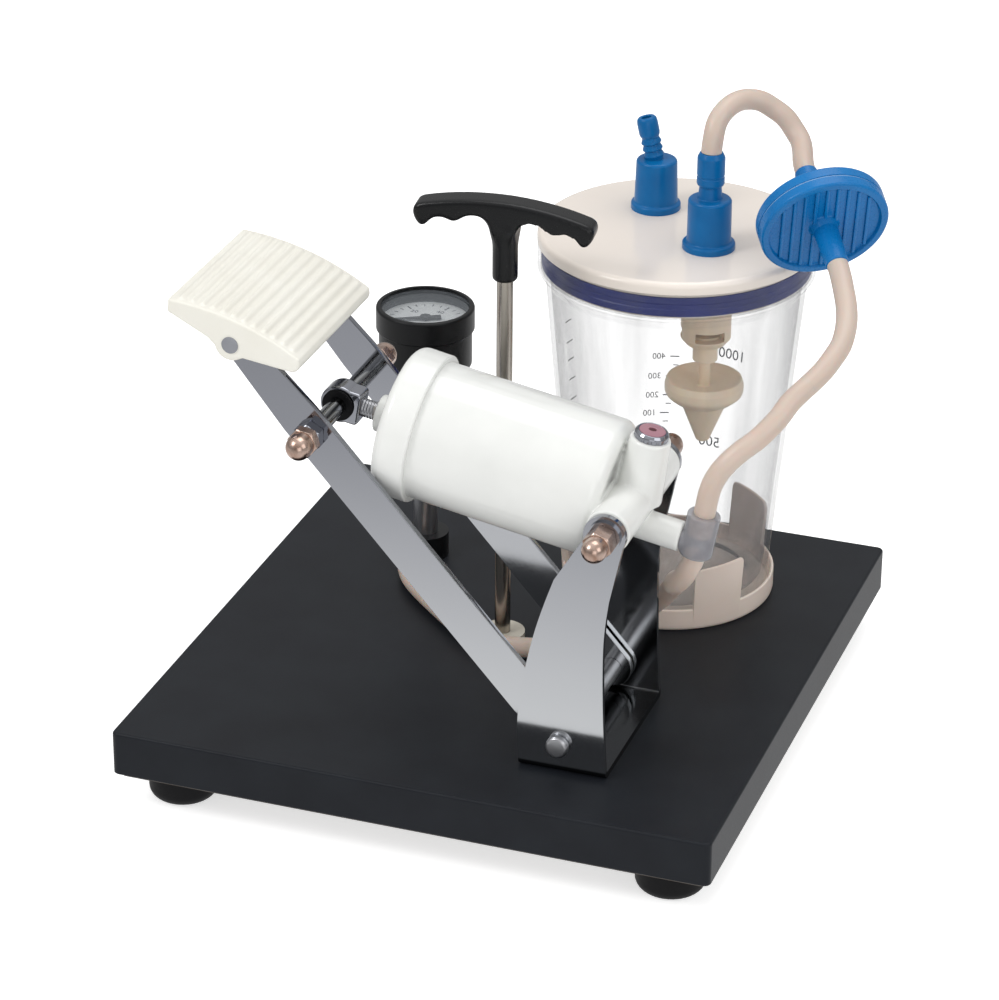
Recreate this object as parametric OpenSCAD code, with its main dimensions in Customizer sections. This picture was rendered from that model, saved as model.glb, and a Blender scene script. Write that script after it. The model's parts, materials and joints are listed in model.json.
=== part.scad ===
// Foot-operated suction pump with a collection jar, on a flat sheet-metal base.
// Origin: middle of the base's footprint, on the surface that the feet stand on.
// +X is right, +Y is away from the pedal lever, +Z is up. Millimetres.

/* [Base] */
// Base width, left to right
base_w = 318; // [300:1:348]
// Base length, front to back
base_l = 336; // [324:1:360]
// Height of the base's top face
base_top = 44.4; // [43.2:0.5:46.8]
// Rubber foot radius
foot_r = 18; // [12:0.5:21.6]
// Rubber foot height
foot_h = 18; // [15.6:0.5:18]
// Distance from a foot's middle to the base's edges
foot_inset = 27.6; // [24:1:42]

/* [Bracket and lever] */
// Sheet thickness of the bracket
bracket_t = 3; // [2.4:0.1:3.6]
// Inner width of the bracket, between its plates
bracket_gap = 86.4; // [84:0.5:88.8]
// Middle plane of the bracket, lever and pump
mid_y = -80.4; // [-86.4:0.5:-76.8]
// Lever axle, place from the left
lever_x = 67.2; // [64.8:0.5:69.6]
// Lever axle, height
lever_z = 60; // [58.8:0.5:62.4]
// Slope of the lever at rest, from +X
lever_angle = 131.8; // [130:0.1:134]
// Distance from the lever axle to the cross rod
cross_reach = 198; // [195.6:0.5:200.4]
// Distance from the lever axle to the pedal pin
pedal_reach = 257.4; // [254.4:0.5:259.2]
// Width of a lever bar
bar_w = 21.6; // [19.2:0.5:22.8]
// Thickness of a lever bar
bar_t = 3.6; // [3:0.1:3.6]

/* [Pump] */
// Pump axle, place from the left
pump_x = 88.8; // [87.6:0.5:90]
// Pump axle, height
pump_z = 180; // [178.8:0.5:181.2]
// Outer radius of the barrel
barrel_r = 35.4; // [34.2:0.1:35.4]
// Bore radius of the barrel
bore_r = 32.4; // [31.2:0.1:32.6]
// End of the barrel, measured along the pump from its axle
barrel_end = 120; // [117.6:0.5:121.2]
// Radius of axles and of the piston rod
axle_r = 4.8; // [4.2:0.1:4.8]
// Radius of the T-handle's rod
handle_rod_r = 4.2; // [3.6:0.1:4.8]

/* [Jar] */
// Jar axis, place from the left
jar_x = 57.72; // [56.4:0.1:60]
// Jar axis, place from the front
jar_y = 87.48; // [86.4:0.1:90]
// Outer radius of the jar at its foot
jar_foot_r = 53.4; // [51.6:0.1:53.8]
// Outer radius of the jar below its collar
jar_top_r = 68.8; // [67.2:0.1:69.2]
// Outer radius of the jar's collar
collar_r = 73.2; // [73:0.1:74.4]
// Height of the jar's rim
rim_z = 246; // [240:0.5:247.2]
// Thickness of the lid's top
lid_t = 6.6; // [6:0.1:7.8]

/* [Gauge and handle] */
// Gauge axis, place from the left
gauge_x = -78.36; // [-81.6:0.1:-75.6]
// Gauge axis, place from the front
gauge_y = 74.64; // [72:0.1:76.8]
// Height of the gauge case's underside
gauge_z = 159.6; // [150:0.5:168]
// Outer radius of the gauge's bezel
bezel_r = 26.64; // [26.2:0.1:27.6]
// T-handle rod, place from the left
handle_x = -6.6; // [-8.4:0.1:-6]
// T-handle rod, place from the front
handle_y = -1.44; // [-2.4:0.1:0]
// Height of the T-handle's top
handle_top = 294.36; // [282:0.1:306]

/* [Hose] */
// Outer diameter of the hoses
hose_d = 10.8; // [9.6:0.1:11]

/* [Hidden] */
$fn = 64;
// Radial play of a turning or sliding fit
play = 0.06;
// Radial gap between fixed pieces that are screwed together
gap = 0.06;
// Overshoot of a cut past the face that it opens
over = 1;

// Base
sheet_t = 1.8;
skirt_t = 2.4;
skirt_z = 20.4;
pan_under = base_top - sheet_t;
board_t = 3.6;
board_inset = 3.6;
post_r = 6;
foot_screw_r = 3;
screw_r = 2.4;
screw_seat_z = base_top + bracket_t;
screw_low = 36;
rod_low = 32.4;
foot_places = [for (sx = [-1, 1], sy = [-1, 1])
    [sx * (base_w / 2 - foot_inset), sy * (base_l / 2 - foot_inset)]];

// Bracket and lever
near_in = mid_y - bracket_gap / 2;
far_in = mid_y + bracket_gap / 2;
near_out = near_in - bracket_t;
far_out = far_in + bracket_t;
washer_t = 1.8;
washer_room = 1.2;
bar_near_out = near_in + washer_room;
bar_far_out = far_in - washer_room;
lever_axle_r = 4.2;
cross_x = lever_x + cross_reach * cos(lever_angle);
cross_z = lever_z + cross_reach * sin(lever_angle);
pin_x = lever_x + pedal_reach * cos(lever_angle);
pin_z = lever_z + pedal_reach * sin(lever_angle);
pin_r = 4.32;
bracket_screw_places = [for (y = [mid_y - 26.4, mid_y + 26.4]) [57.6, y]];

// Pump: x runs against the barrel and z runs up across it, from the pump's axle
pump_tilt = atan2(cross_z - pump_z, pump_x - cross_x);
eye_t = norm([cross_x - pump_x, cross_z - pump_z]);
eye_drop = 1.176;
eye_bore_r = 6.24;
seat_t = 19.2;
spigot_end = 26.4;
piston_t0 = 28.8;
piston_t1 = 43.2;
spring_t0 = 44.64;
spring_t1 = 113.76;
bush_t0 = 115.2;
gland_t = 136.2;
rod_end_t = 144.6;
rod_t1 = 150;
tube_z = -12.8;
tube_end = 28.2;
tower_x = 2.16;
tower_top = 34.8;
tee_x = 36.6;
tee_low = -19.6;
tee_high = 3.4;
pump_axis_dir = [-cos(pump_tilt), 0, sin(pump_tilt)];
pump_up_dir = [sin(pump_tilt), 0, cos(pump_tilt)];
pump_origin = [pump_x, mid_y, pump_z];
tee_top_end = pump_origin - tee_x * pump_axis_dir + tee_high * pump_up_dir;
tee_low_end = pump_origin - tee_x * pump_axis_dir + tee_low * pump_up_dir;

// Jar and lid
holder_r = 57.4;
holder_wall = 1.68;
holder_screw_ring = 33.6;
lid_under = rim_z + 0.12;
lid_top = lid_under + lid_t;
plug_r = 68.4;
gasket_r = 71.04;
gasket_z0 = 233.28;
gasket_z1 = 243.96;
nozzle_in = [38.04, 111.96];
nozzle_out = [80.04, 69.36];
spigot_r = 7.2;
connector_z0 = 287.52;
connector_top = 305.28;

// Gauge
dial_z = 184.08;
gauge_top = gauge_z + 34.32;
barb_x = -79.2;
barb_end_y = 51.6;
barb_z = 50.4;

// Filter: turned so that its outlet side looks down to the front right
filter_centre = [144.6, 50.04, 284.52];
filter_lean = 116;
filter_turn = -57;
filter_dir = [sin(filter_lean) * cos(filter_turn), sin(filter_lean) * sin(filter_turn),
    cos(filter_lean)];
filter_r = 33.3;
filter_t = 12.36;
stub_r = 5.88;
stub_in = 32.64;
stub_out = 30.24;

// Routes of the hoses, from fitting to fitting
jar_hose_route = concat(
    [[nozzle_out[0], nozzle_out[1], connector_top]],
    [[80.4, 70.8, 313.2], [81, 74.4, 319.8], [83.4, 80.4, 324.6], [87, 87, 327], [91.2, 93, 327],
    [97.2, 97.8, 325.2], [103.2, 100.8, 321], [109.8, 100.8, 316.8], [115.2, 99, 311.4], [120, 94.8, 307.2],
    [123, 88.2, 304.2], [125.4, 81, 301.8]],
    [filter_centre - stub_in * filter_dir]);
pump_hose_route = concat(
    [filter_centre + stub_out * filter_dir],
    [[163.2, 21, 267], [166.8, 13.8, 262.8], [169.8, 7.2, 259.2], [172.2, 0, 255], [173.4, -7.2, 250.8],
    [173.4, -15, 246.6], [171.6, -22.8, 243], [169.2, -30, 239.4], [165.6, -37.2, 235.8],
    [162, -44.4, 232.8], [158.4, -51, 229.2], [155.4, -58.2, 224.4], [151.8, -64.2, 220.2],
    [147, -69.6, 215.4], [141, -73.8, 210.6], [135.6, -77.4, 205.2], [130.8, -79.2, 198],
    [127.8, -80.4, 190.2]],
    [tee_top_end]);
gauge_hose_route = concat(
    [tee_low_end],
    [[117.6, -79.2, 144], [112.8, -75, 135.6], [108, -69, 129.6], [105, -60.6, 124.8], [103.2, -51, 121.2],
    [101.4, -42, 117], [99, -33.6, 111.6], [95.4, -26.4, 105.6], [90.6, -20.4, 98.4], [85.8, -15.6, 91.2],
    [79.8, -11.4, 84], [73.8, -8.4, 76.2], [67.8, -6, 69], [60.6, -4.8, 61.8], [52.2, -6, 55.8],
    [43.2, -9, 52.2], [34.2, -13.2, 51], [24.6, -17.4, 50.4], [15, -20.4, 50.4], [4.8, -22.2, 50.4],
    [-5.4, -21.6, 50.4], [-15, -18.2, 50.4], [-24, -12.6, 50.4], [-32.4, -6, 50.4], [-40.2, 1, 50.4],
    [-48, 8.2, 50.4], [-55.6, 15.4, 50.4], [-62.8, 22.6, 50.4], [-69.4, 30, 50.4], [-74.6, 37.6, 50.4],
    [-78, 45, 50.4]],
    [[barb_x, barb_end_y, barb_z]]);

// Points on an arc of a circle, from angle a0 to a1
function arc(c, r, a0, a1, n = 8) =
    [for (i = [0:n]) let (a = a0 + (a1 - a0) * i / n) [c[0] + r * cos(a), c[1] + r * sin(a)]];

function unit(v) = v / norm(v);

// Direction of a route at point i, square to the fitting at either end
function heading(p, i, first, last) =
    i == 0 ? first : i == len(p) - 1 ? last : unit(p[i + 1] - p[i - 1]);

// Sideways direction carried along a route without twist
function carry(u, t) = unit(u - (u * t) * t);

// One round tube along a route
module tube_along(p, r, first, last, side, sides = 10) {
    n = len(p);
    t = [for (i = [0:n - 1]) heading(p, i, first, last)];
    u = [for (i = 0, w = carry(side, t[0]); i < n; i = i + 1, w = i < n ? carry(w, t[i]) : w) w];
    rings = [for (i = [0:n - 1], k = [0:sides - 1])
        let (a = 360 * k / sides)
        p[i] + r * (cos(a) * u[i] + sin(a) * cross(t[i], u[i]))];
    walls = [for (i = [0:n - 2], k = [0:sides - 1])
        let (a = i * sides + k, b = i * sides + (k + 1) % sides)
        each [[a, a + sides, b], [b, a + sides, b + sides]]];
    start_cap = [[for (k = [0:sides - 1]) k]];
    end_cap = [[for (k = [0:sides - 1]) n * sides - 1 - k]];
    polyhedron(concat(rings, [p[0]], [p[n - 1]]), concat(walls, start_cap, end_cap));
}

// A flat outline in X and Z, made solid between two Y planes
module between_y(y0, y1) {
    translate([0, y1, 0]) rotate([90, 0, 0]) linear_extrude(y1 - y0) children();
}

// A round bar or cut along Y
module bar_y(x, z, y0, y1, r) {
    translate([x, y1, z]) rotate([90, 0, 0]) cylinder(r = r, h = y1 - y0);
}

module ring(r_out, r_in, h) {
    difference() {
        cylinder(r = r_out, h = h);
        translate([0, 0, -over]) cylinder(r = r_in, h = h + 2 * over);
    }
}

module hexagon(across, h) {
    cylinder(r = across / sqrt(3), h = h, $fn = 6);
}

module at_each(places) {
    for (p = places) translate([p[0], p[1], 0]) children();
}

// Place for pump pieces: the barrel lies towards -X
module on_pump() {
    translate(pump_origin) rotate([0, pump_tilt, 0]) children();
}

// A turned shape on the pump's axis; points are [radius, distance from the axle]
module turned_on_pump(points) {
    on_pump() rotate([0, -90, 0]) rotate_extrude($fn = 96) polygon(points);
}

// A round cut or bar along the pump, a height up from its axis
module bar_pump(t0, t1, r, up = 0) {
    translate([-t0, 0, up]) rotate([0, -90, 0]) cylinder(r = r, h = t1 - t0);
}

module rounded_sheet(w, l, r, h) {
    linear_extrude(h) polygon(concat(
        arc([w / 2 - r, l / 2 - r], r, 0, 90),
        arc([-w / 2 + r, l / 2 - r], r, 90, 180),
        arc([-w / 2 + r, -l / 2 + r], r, 180, 270),
        arc([w / 2 - r, -l / 2 + r], r, 270, 360)));
}

holder_screw_places = [for (a = [30, 150, 270])
    [jar_x + holder_screw_ring * cos(a), jar_y + holder_screw_ring * sin(a)]];
panel_screw_places = concat(bracket_screw_places, holder_screw_places);

module base_pan() {
    color("#3a4046") difference() {
        translate([0, 0, skirt_z]) rounded_sheet(base_w, base_l, 3.6, base_top - skirt_z);
        translate([0, 0, skirt_z - over])
            rounded_sheet(base_w - 2 * skirt_t, base_l - 2 * skirt_t, 1.8, pan_under - skirt_z + over);
        at_each(panel_screw_places) cylinder(r = screw_r + gap, h = base_top + over);
        translate([handle_x, handle_y, 0]) cylinder(r = handle_rod_r + gap, h = base_top + over);
        translate([gauge_x, gauge_y, 0]) cylinder(r = axle_r + gap, h = base_top + over);
    }
}

module base_board() {
    color("#6d645c") difference() {
        translate([0, 0, foot_h])
            rounded_sheet(base_w - 2 * board_inset, base_l - 2 * board_inset, 2.4, board_t);
        at_each(foot_places) cylinder(r = foot_screw_r + gap, h = foot_h + board_t + over);
    }
}

module rubber_feet() {
    edge = 6;
    recess_r = 7.2;
    recess_h = 7.2;
    color("#26272a") at_each(foot_places) rotate_extrude() polygon(concat(
        [[recess_r, 0]],
        arc([foot_r - edge, edge], edge, -90, 0),
        [[foot_r, foot_h], [foot_screw_r + gap, foot_h], [foot_screw_r + gap, recess_h],
        [recess_r, recess_h]]));
}

module foot_posts() {
    post_z = foot_h + board_t;
    color("silver") at_each(foot_places) translate([0, 0, post_z]) difference() {
        cylinder(r = post_r, h = pan_under - post_z);
        translate([0, 0, -over]) cylinder(r = foot_screw_r + gap, h = 14.4 + over);
    }
}

module foot_screws() {
    color("silver") at_each(foot_places) {
        translate([0, 0, 3.84]) cylinder(r = 6, h = 3.36);
        translate([0, 0, 7.2]) cylinder(r = foot_screw_r, h = 26.4);
    }
}

// Side outline of a bracket plate: leaning forwards, round about the pump's axle
module bracket_outline() {
    polygon(concat(
        [[92.16, base_top], [89.88, 87], [88.8, 117.72], [91.44, 143.16]],
        arc([pump_x, pump_z], 10.8, -48, 195, 16),
        [[63.36, 151.8], [54.96, 124.8], [48.84, 100.56], [45, 74.52], [46.2, base_top]]));
}

module bracket() {
    web_x0 = 46.2;
    web_x1 = 92.16;
    color("#c9ccd2") difference() {
        union() {
            between_y(near_out, near_in) bracket_outline();
            between_y(far_in, far_out) bracket_outline();
            translate([web_x0, near_out, base_top])
                cube([web_x1 - web_x0, far_out - near_out, bracket_t]);
        }
        bar_y(lever_x, lever_z, near_out - over, far_out + over, lever_axle_r + gap);
        bar_y(pump_x, pump_z, near_out - over, far_out + over, axle_r + gap);
        at_each(bracket_screw_places) cylinder(r = screw_r + gap, h = screw_seat_z + over);
    }
}

module panel_screws() {
    head_r = 4.56;
    head_h = 2.88;
    color("silver") at_each(panel_screw_places) {
        translate([0, 0, screw_low]) cylinder(r = screw_r, h = screw_seat_z - screw_low);
        translate([0, 0, screw_seat_z]) difference() {
            cylinder(r = head_r, h = head_h);
            for (turn = [0, 90])
                rotate([0, 0, turn]) translate([-2.4, -0.48, head_h - 1.44]) cube([4.8, 0.96, 2.4]);
        }
    }
}

module panel_nuts() {
    thick = 3.84;
    color("silver") at_each(panel_screw_places) translate([0, 0, pan_under - thick]) difference() {
        hexagon(8.4, thick);
        translate([0, 0, -over]) cylinder(r = screw_r + gap, h = thick + 2 * over);
    }
}

module lever_axle() {
    head_r = 5.88;
    head_h = 4.8;
    color("#c9ccd2") {
        bar_y(lever_x, lever_z, near_out, far_out + 10.2, lever_axle_r);
        bar_y(lever_x, lever_z, near_out - head_h, near_out, head_r);
    }
}

module lever_spacer() {
    slack = 0.24;
    color("silver") difference() {
        bar_y(lever_x, lever_z, bar_near_out + bar_t + slack, bar_far_out - bar_t - slack, 5.4);
        bar_y(lever_x, lever_z, near_in, far_in, lever_axle_r + gap);
    }
}

module pump_axle() {
    reach_out = 17.4;
    color("silver") bar_y(pump_x, pump_z, near_out - reach_out, far_out + reach_out, axle_r);
}

module pump_washers() {
    color("#c9ccd2") for (y = [near_out - washer_t, far_out]) difference() {
        bar_y(pump_x, pump_z, y, y + washer_t, 8.4);
        bar_y(pump_x, pump_z, y - over, y + washer_t + over, axle_r + gap);
    }
}

// A hexagon with a domed end, open at its flat face
module dome_nut(across, hex_h, full_h, blind_h) {
    dome_r = across / 2 - 0.36;
    difference() {
        union() {
            hexagon(across, hex_h);
            rotate_extrude() polygon(concat(
                [[0, 0], [dome_r, 0], [dome_r, full_h - dome_r]],
                arc([0, full_h - dome_r], dome_r, 15, 90, 6)));
        }
        translate([0, 0, -over]) cylinder(r = axle_r + gap, h = blind_h + over);
    }
}

module pump_dome_nuts() {
    color("#c98b6b") {
        translate([pump_x, near_out - washer_t, pump_z]) rotate([90, 0, 0]) dome_nut(13.2, 10.8, 20.4, 15.6);
        translate([pump_x, far_out + washer_t, pump_z]) rotate([-90, 0, 0]) dome_nut(13.2, 10.8, 20.4, 15.6);
    }
}

// Thin washers between the plates and what turns on the two axles
module axle_washers() {
    slack = 0.12;
    for (side = [near_in + slack, far_in - washer_room + slack]) {
        color("ivory") difference() {
            bar_y(lever_x, lever_z, side, side + washer_room - 2 * slack, 9);
            bar_y(lever_x, lever_z, side - over, side + washer_room + over, lever_axle_r + gap);
        }
        color("ivory") difference() {
            bar_y(pump_x, pump_z, side, side + washer_room - 2 * slack, 9.6);
            bar_y(pump_x, pump_z, side - over, side + washer_room + over, axle_r + gap);
        }
    }
}

nut_across = 15.6;
nut_h = 7.8;

module hex_nut(r) {
    difference() {
        hexagon(nut_across, nut_h);
        translate([0, 0, -over]) cylinder(r = r + gap, h = nut_h + 2 * over);
    }
}

module hex_nuts() {
    color("silver") {
        translate([handle_x, handle_y, pan_under - nut_h]) hex_nut(handle_rod_r);
        translate([gauge_x, gauge_y, pan_under - nut_h]) hex_nut(axle_r);
        translate([lever_x, far_out, lever_z]) rotate([-90, 0, 0]) hex_nut(lever_axle_r);
    }
}

module handle_rod() {
    color("silver") translate([handle_x, handle_y, rod_low])
        cylinder(r = handle_rod_r, h = handle_top - 15.6 - rod_low);
}

module handle_washer() {
    color("ivory") translate([handle_x, handle_y, base_top]) ring(12, handle_rod_r + gap, 3);
}

// Lower edge of the grip's right half: end lobe, two finger hollows and the neck, as [across, down]
grip_under = [
    [45.6, 7.3], [46.8, 9.2], [46.9, 12], [46, 14.6], [44.4, 17], [42.8, 18.3], [41.2, 18.5],
    [39.8, 17.6], [38.4, 15.8], [36.6, 13.9], [34.2, 12.8], [31.4, 12.6], [29, 13.2], [27, 14],
    [25, 14], [23, 13], [20.8, 11.2], [18.4, 10], [15.6, 9.4], [12.8, 9.5], [10.4, 10.5], [8.6, 12.4],
    [7.2, 15], [6.4, 18]];

module grip_outline() {
    arch_r = 158;
    last = len(grip_under) - 1;
    polygon(concat(
        arc([0, handle_top - arch_r], arch_r, 74, 106, 16),
        [for (p = grip_under) [-p[0], handle_top - p[1]]],
        [for (k = [last:-1:0]) [grip_under[k][0], handle_top - grip_under[k][1]]]));
}

module handle_grip() {
    depth = 15;
    sleeve_r = 6.4;
    sleeve_z = handle_top - 44.16;
    tilt_z = handle_top - 10;
    color("#1d1e20") translate([handle_x, handle_y, 0]) difference() {
        union() {
            rotate([0, 0, 7.4]) translate([0, 0, tilt_z]) rotate([0, 3.3, 0]) translate([0, 0, -tilt_z])
                between_y(-depth / 2, depth / 2) grip_outline();
            translate([0, 0, sleeve_z]) cylinder(r = sleeve_r, h = 32.4);
        }
        translate([0, 0, sleeve_z - over]) cylinder(r = handle_rod_r + gap, h = 29.76 + over);
    }
}

module gauge_foot() {
    air_r = 1.8;
    color("#2b2d30") difference() {
        translate([gauge_x, gauge_y, 0]) union() {
            translate([0, 0, base_top]) cylinder(r = 12.6, h = 13.92);
            translate([0, 0, rod_low]) cylinder(r = axle_r, h = base_top - rod_low);
            translate([0, 0, base_top + 13.92]) cylinder(r = 4.2, h = 7.2);
            bar_y(barb_x - gauge_x, barb_z, barb_end_y - gauge_y, 0, 4.08);
            for (y = [barb_end_y + 3.6, barb_end_y + 7.2])
                bar_y(barb_x - gauge_x, barb_z, y - gauge_y, y + 1.44 - gauge_y, 5.04);
            bar_y(barb_x - gauge_x, barb_z, barb_end_y - gauge_y, barb_end_y + 1.8 - gauge_y, 5.04);
        }
        bar_y(barb_x, barb_z, barb_end_y - over, gauge_y, air_r);
        translate([gauge_x, gauge_y, barb_z]) cylinder(r = air_r, h = 16.8);
    }
}

module gauge_post() {
    post_z = base_top + 13.92;
    color("silver") translate([gauge_x, gauge_y, post_z]) difference() {
        cylinder(r = 6.6, h = gauge_z - post_z);
        translate([0, 0, -over]) cylinder(r = 4.2 + gap, h = 7.2 + gap + over);
        cylinder(r = 1.8, h = gauge_z);
    }
}

module gauge_case() {
    color("#1d1e20") translate([gauge_x, gauge_y, 0]) rotate_extrude() polygon([
        [1.8, gauge_z], [24, gauge_z], [25.2, gauge_z + 1.2], [25.2, dial_z], [23.52, dial_z],
        [23.52, gauge_z + 1.8], [1.8, gauge_z + 1.8]]);
}

module gauge_bezel() {
    lens_z = gauge_top - 3.84;
    color("#1d1e20") translate([gauge_x, gauge_y, 0]) rotate_extrude() polygon(concat(
        [[25.2 + gap, dial_z - 3.6], [bezel_r - 0.72, dial_z - 3.6], [bezel_r, dial_z - 2.88]],
        arc([bezel_r - 1.44, gauge_top - 1.44], 1.44, 0, 90, 5),
        [[24, gauge_top], [24, lens_z + 2.16], [24.96, lens_z + 2.16], [24.96, lens_z], [24, lens_z],
        [24, dial_z + 1.08], [25.2 + gap, dial_z + 1.08]]));
}

module gauge_lens() {
    color("#e8f0f4", 0.4) translate([gauge_x, gauge_y, gauge_top - 3.84])
        cylinder(r = 24.9, h = 2.1);
}

module gauge_dial() {
    color("white") translate([gauge_x, gauge_y, dial_z]) ring(25.08, 1.02, 0.96);
}

module gauge_needle() {
    hub_z = dial_z + 1.92;
    color("black") translate([gauge_x, gauge_y, 0]) rotate([0, 0, 26]) {
        translate([0, 0, dial_z - 7.2]) cylinder(r = 0.9, h = 9.6);
        translate([0, 0, hub_z]) cylinder(r = 2.88, h = 1.44);
        translate([0, 0, hub_z]) linear_extrude(0.72)
            polygon([[-19.8, -0.36], [0, -1.56], [8.4, -2.28], [8.4, 2.28], [0, 1.56], [-19.8, 0.36]]);
    }
}

// Cup for the jar's foot, with three tall springy tabs
module jar_holder() {
    wall_in = holder_r - holder_wall;
    tab_turn = 24;
    color("#e9dccf") translate([jar_x, jar_y, 0]) difference() {
        union() {
            translate([0, 0, base_top]) cylinder(r = holder_r, h = 3);
            translate([0, 0, base_top]) ring(holder_r, wall_in, 12.6);
            for (a = [-45, 57, 186]) rotate([0, 0, a - tab_turn / 2])
                rotate_extrude(angle = tab_turn) polygon([
                    [wall_in, base_top + 1.2], [holder_r, base_top + 1.2], [holder_r, base_top + 4.8],
                    [59.6, base_top + 39.6], [57.92, base_top + 39.6], [wall_in, base_top + 4.8]]);
        }
        translate([-jar_x, -jar_y, 0]) at_each(holder_screw_places)
            cylinder(r = screw_r + gap, h = screw_seat_z + over);
    }
}

module jar() {
    foot_z = screw_seat_z + 0.12;
    ledge_z = rim_z - 14.16;
    wall = 2.4;
    color("#eef4f6", 0.35) translate([jar_x, jar_y, 0]) rotate_extrude($fn = 96) polygon(concat(
        [[44.4, foot_z]],
        arc([jar_foot_r - 3.6, foot_z + 3.6], 3.6, -90, 0),
        [[jar_top_r, rim_z - 20.4], [collar_r - 1.8, ledge_z - 1.68], [collar_r, ledge_z - 0.48],
        [collar_r, rim_z], [collar_r - 1.8, rim_z], [collar_r - 1.8, ledge_z],
        [jar_top_r - wall, ledge_z], [jar_top_r - wall, rim_z - 19.68]],
        arc([jar_foot_r - wall - 4.8, foot_z + 12], 4.8, 0, -90, 6),
        [[0, foot_z + 7.2], [0, foot_z + 4.8], [42.6, foot_z + 4.8]]));
}

module lid() {
    edge = 3.12;
    color("#ece4da") difference() {
        translate([jar_x, jar_y, 0]) rotate_extrude($fn = 96) polygon(concat(
            [[0, lid_under], [64.8, lid_under], [64.8, gasket_z0 - 0.96], [70.32, gasket_z0 - 0.96],
            [70.32, gasket_z0], [plug_r, gasket_z0], [plug_r, gasket_z1], [70.32, gasket_z1],
            [70.32, lid_under], [72.96, lid_under], [73.38, lid_under + 0.6]],
            arc([73.38 - edge, lid_top - edge], edge, 0, 90),
            [[0, lid_top]]));
        for (p = [nozzle_in, nozzle_out]) translate([p[0], p[1], lid_under - over])
            cylinder(r = spigot_r, h = lid_t + 2 * over);
    }
    color("#ece4da") translate([nozzle_in[0], nozzle_in[1], lid_under - 14.4]) ring(9, spigot_r, 14.4);
}

module lid_gasket() {
    color("#34457a") translate([jar_x, jar_y, gasket_z0])
        ring(gasket_r, plug_r, gasket_z1 - gasket_z0);
}

// Flange, round body and spigot that both lid fittings share
module nozzle_body(flange_r, body_r, top_r, body_top) {
    translate([0, 0, lid_top]) cylinder(r = flange_r, h = 3.6);
    translate([0, 0, lid_top]) cylinder(r1 = body_r, r2 = top_r, h = body_top - 1.44 - lid_top);
    translate([0, 0, body_top - 1.44]) cylinder(r1 = top_r, r2 = top_r - 1.44, h = 1.44);
    translate([0, 0, lid_under - 2.4]) cylinder(r = spigot_r - gap, h = lid_t + 4.8);
}

module patient_nozzle() {
    barb_lean = -13;
    color("#1f74b5") translate([nozzle_in[0], nozzle_in[1], 0]) difference() {
        union() {
            nozzle_body(13.2, 11.4, 10.8, 280.2);
            translate([0, 0, 274.8]) rotate([0, barb_lean, 0]) {
                cylinder(r = 4.32, h = 28.8);
                for (up = [8.4:6:26.4])
                    translate([0, 0, up]) cylinder(r1 = 5.52, r2 = 4.32, h = 3.6);
            }
        }
        translate([0, 0, lid_under - 3.6]) cylinder(r = 3, h = 31.2);
        translate([0, 0, 272.4]) rotate([0, barb_lean, 0]) cylinder(r = 2.76, h = 36);
    }
}

module vacuum_nozzle() {
    color("#1f74b5") translate([nozzle_out[0], nozzle_out[1], 0]) difference() {
        union() {
            nozzle_body(13.8, 11.4, 11.4, 279.96);
            translate([0, 0, 278.4]) cylinder(r = 5.64, h = connector_z0 - 278.4);
            translate([0, 0, connector_z0]) cylinder(r = 4.2, h = 7.2);
        }
        translate([0, 0, lid_under - 3.6]) cylinder(r = 3, h = 72);
    }
}

module vacuum_connector() {
    color("#1f74b5") translate([nozzle_out[0], nozzle_out[1], 0]) rotate_extrude() polygon(concat(
        [[4.2 + gap, connector_z0]],
        arc([7.2 - 2.4, connector_z0 + 2.4], 2.4, -90, 0, 5),
        arc([7.2 - 2.4, connector_top - 2.4], 2.4, 0, 90, 5),
        [[3, connector_top], [3, connector_z0 + 7.32], [4.2 + gap, connector_z0 + 7.32]]));
}

float_low = 142.6;
cage_low = 198.6;
float_disc_top = 178.8;

module float_cage() {
    color("#ece4da") translate([nozzle_out[0], nozzle_out[1], 0]) difference() {
        rotate_extrude() polygon([
            [7.2, cage_low], [10.2, cage_low], [13.2, cage_low + 3.6], [13.2, lid_under],
            [8.88, lid_under], [8.88, cage_low + 3], [7.2, cage_low + 3]]);
        for (a = [-62, 58, 178]) rotate([0, 0, a])
            translate([6, -7.8, cage_low + 4.5]) cube([9.6, 15.6, 5.4]);
    }
}

module float_valve() {
    seat_z = cage_low + 3.12;
    neck_z = 188.4;
    color("#efe6d6") translate([nozzle_out[0], nozzle_out[1], 0]) rotate_extrude() polygon(concat(
        [[0, float_low]],
        [[3.4, float_low], [12.4, float_disc_top - 13.6], [15.4, float_disc_top - 13]],
        arc([12.2, float_disc_top - 4.6], 8.6, -55, 0, 5),
        [[20.4, float_disc_top - 1.4], [19.6, float_disc_top], [18.6, float_disc_top],
        [12.6, float_disc_top - 2.4], [3, float_disc_top - 4.8], [3, neck_z], [6.6, neck_z + 0.6],
        [6.6, seat_z], [8.28, seat_z],
        [8.28, seat_z + 2.4], [3, seat_z + 2.88], [3, lid_under - 16.32], [5.04, lid_under - 16.32],
        [5.04, lid_under - 14.64], [0, lid_under - 14.64]]));
}

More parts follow.
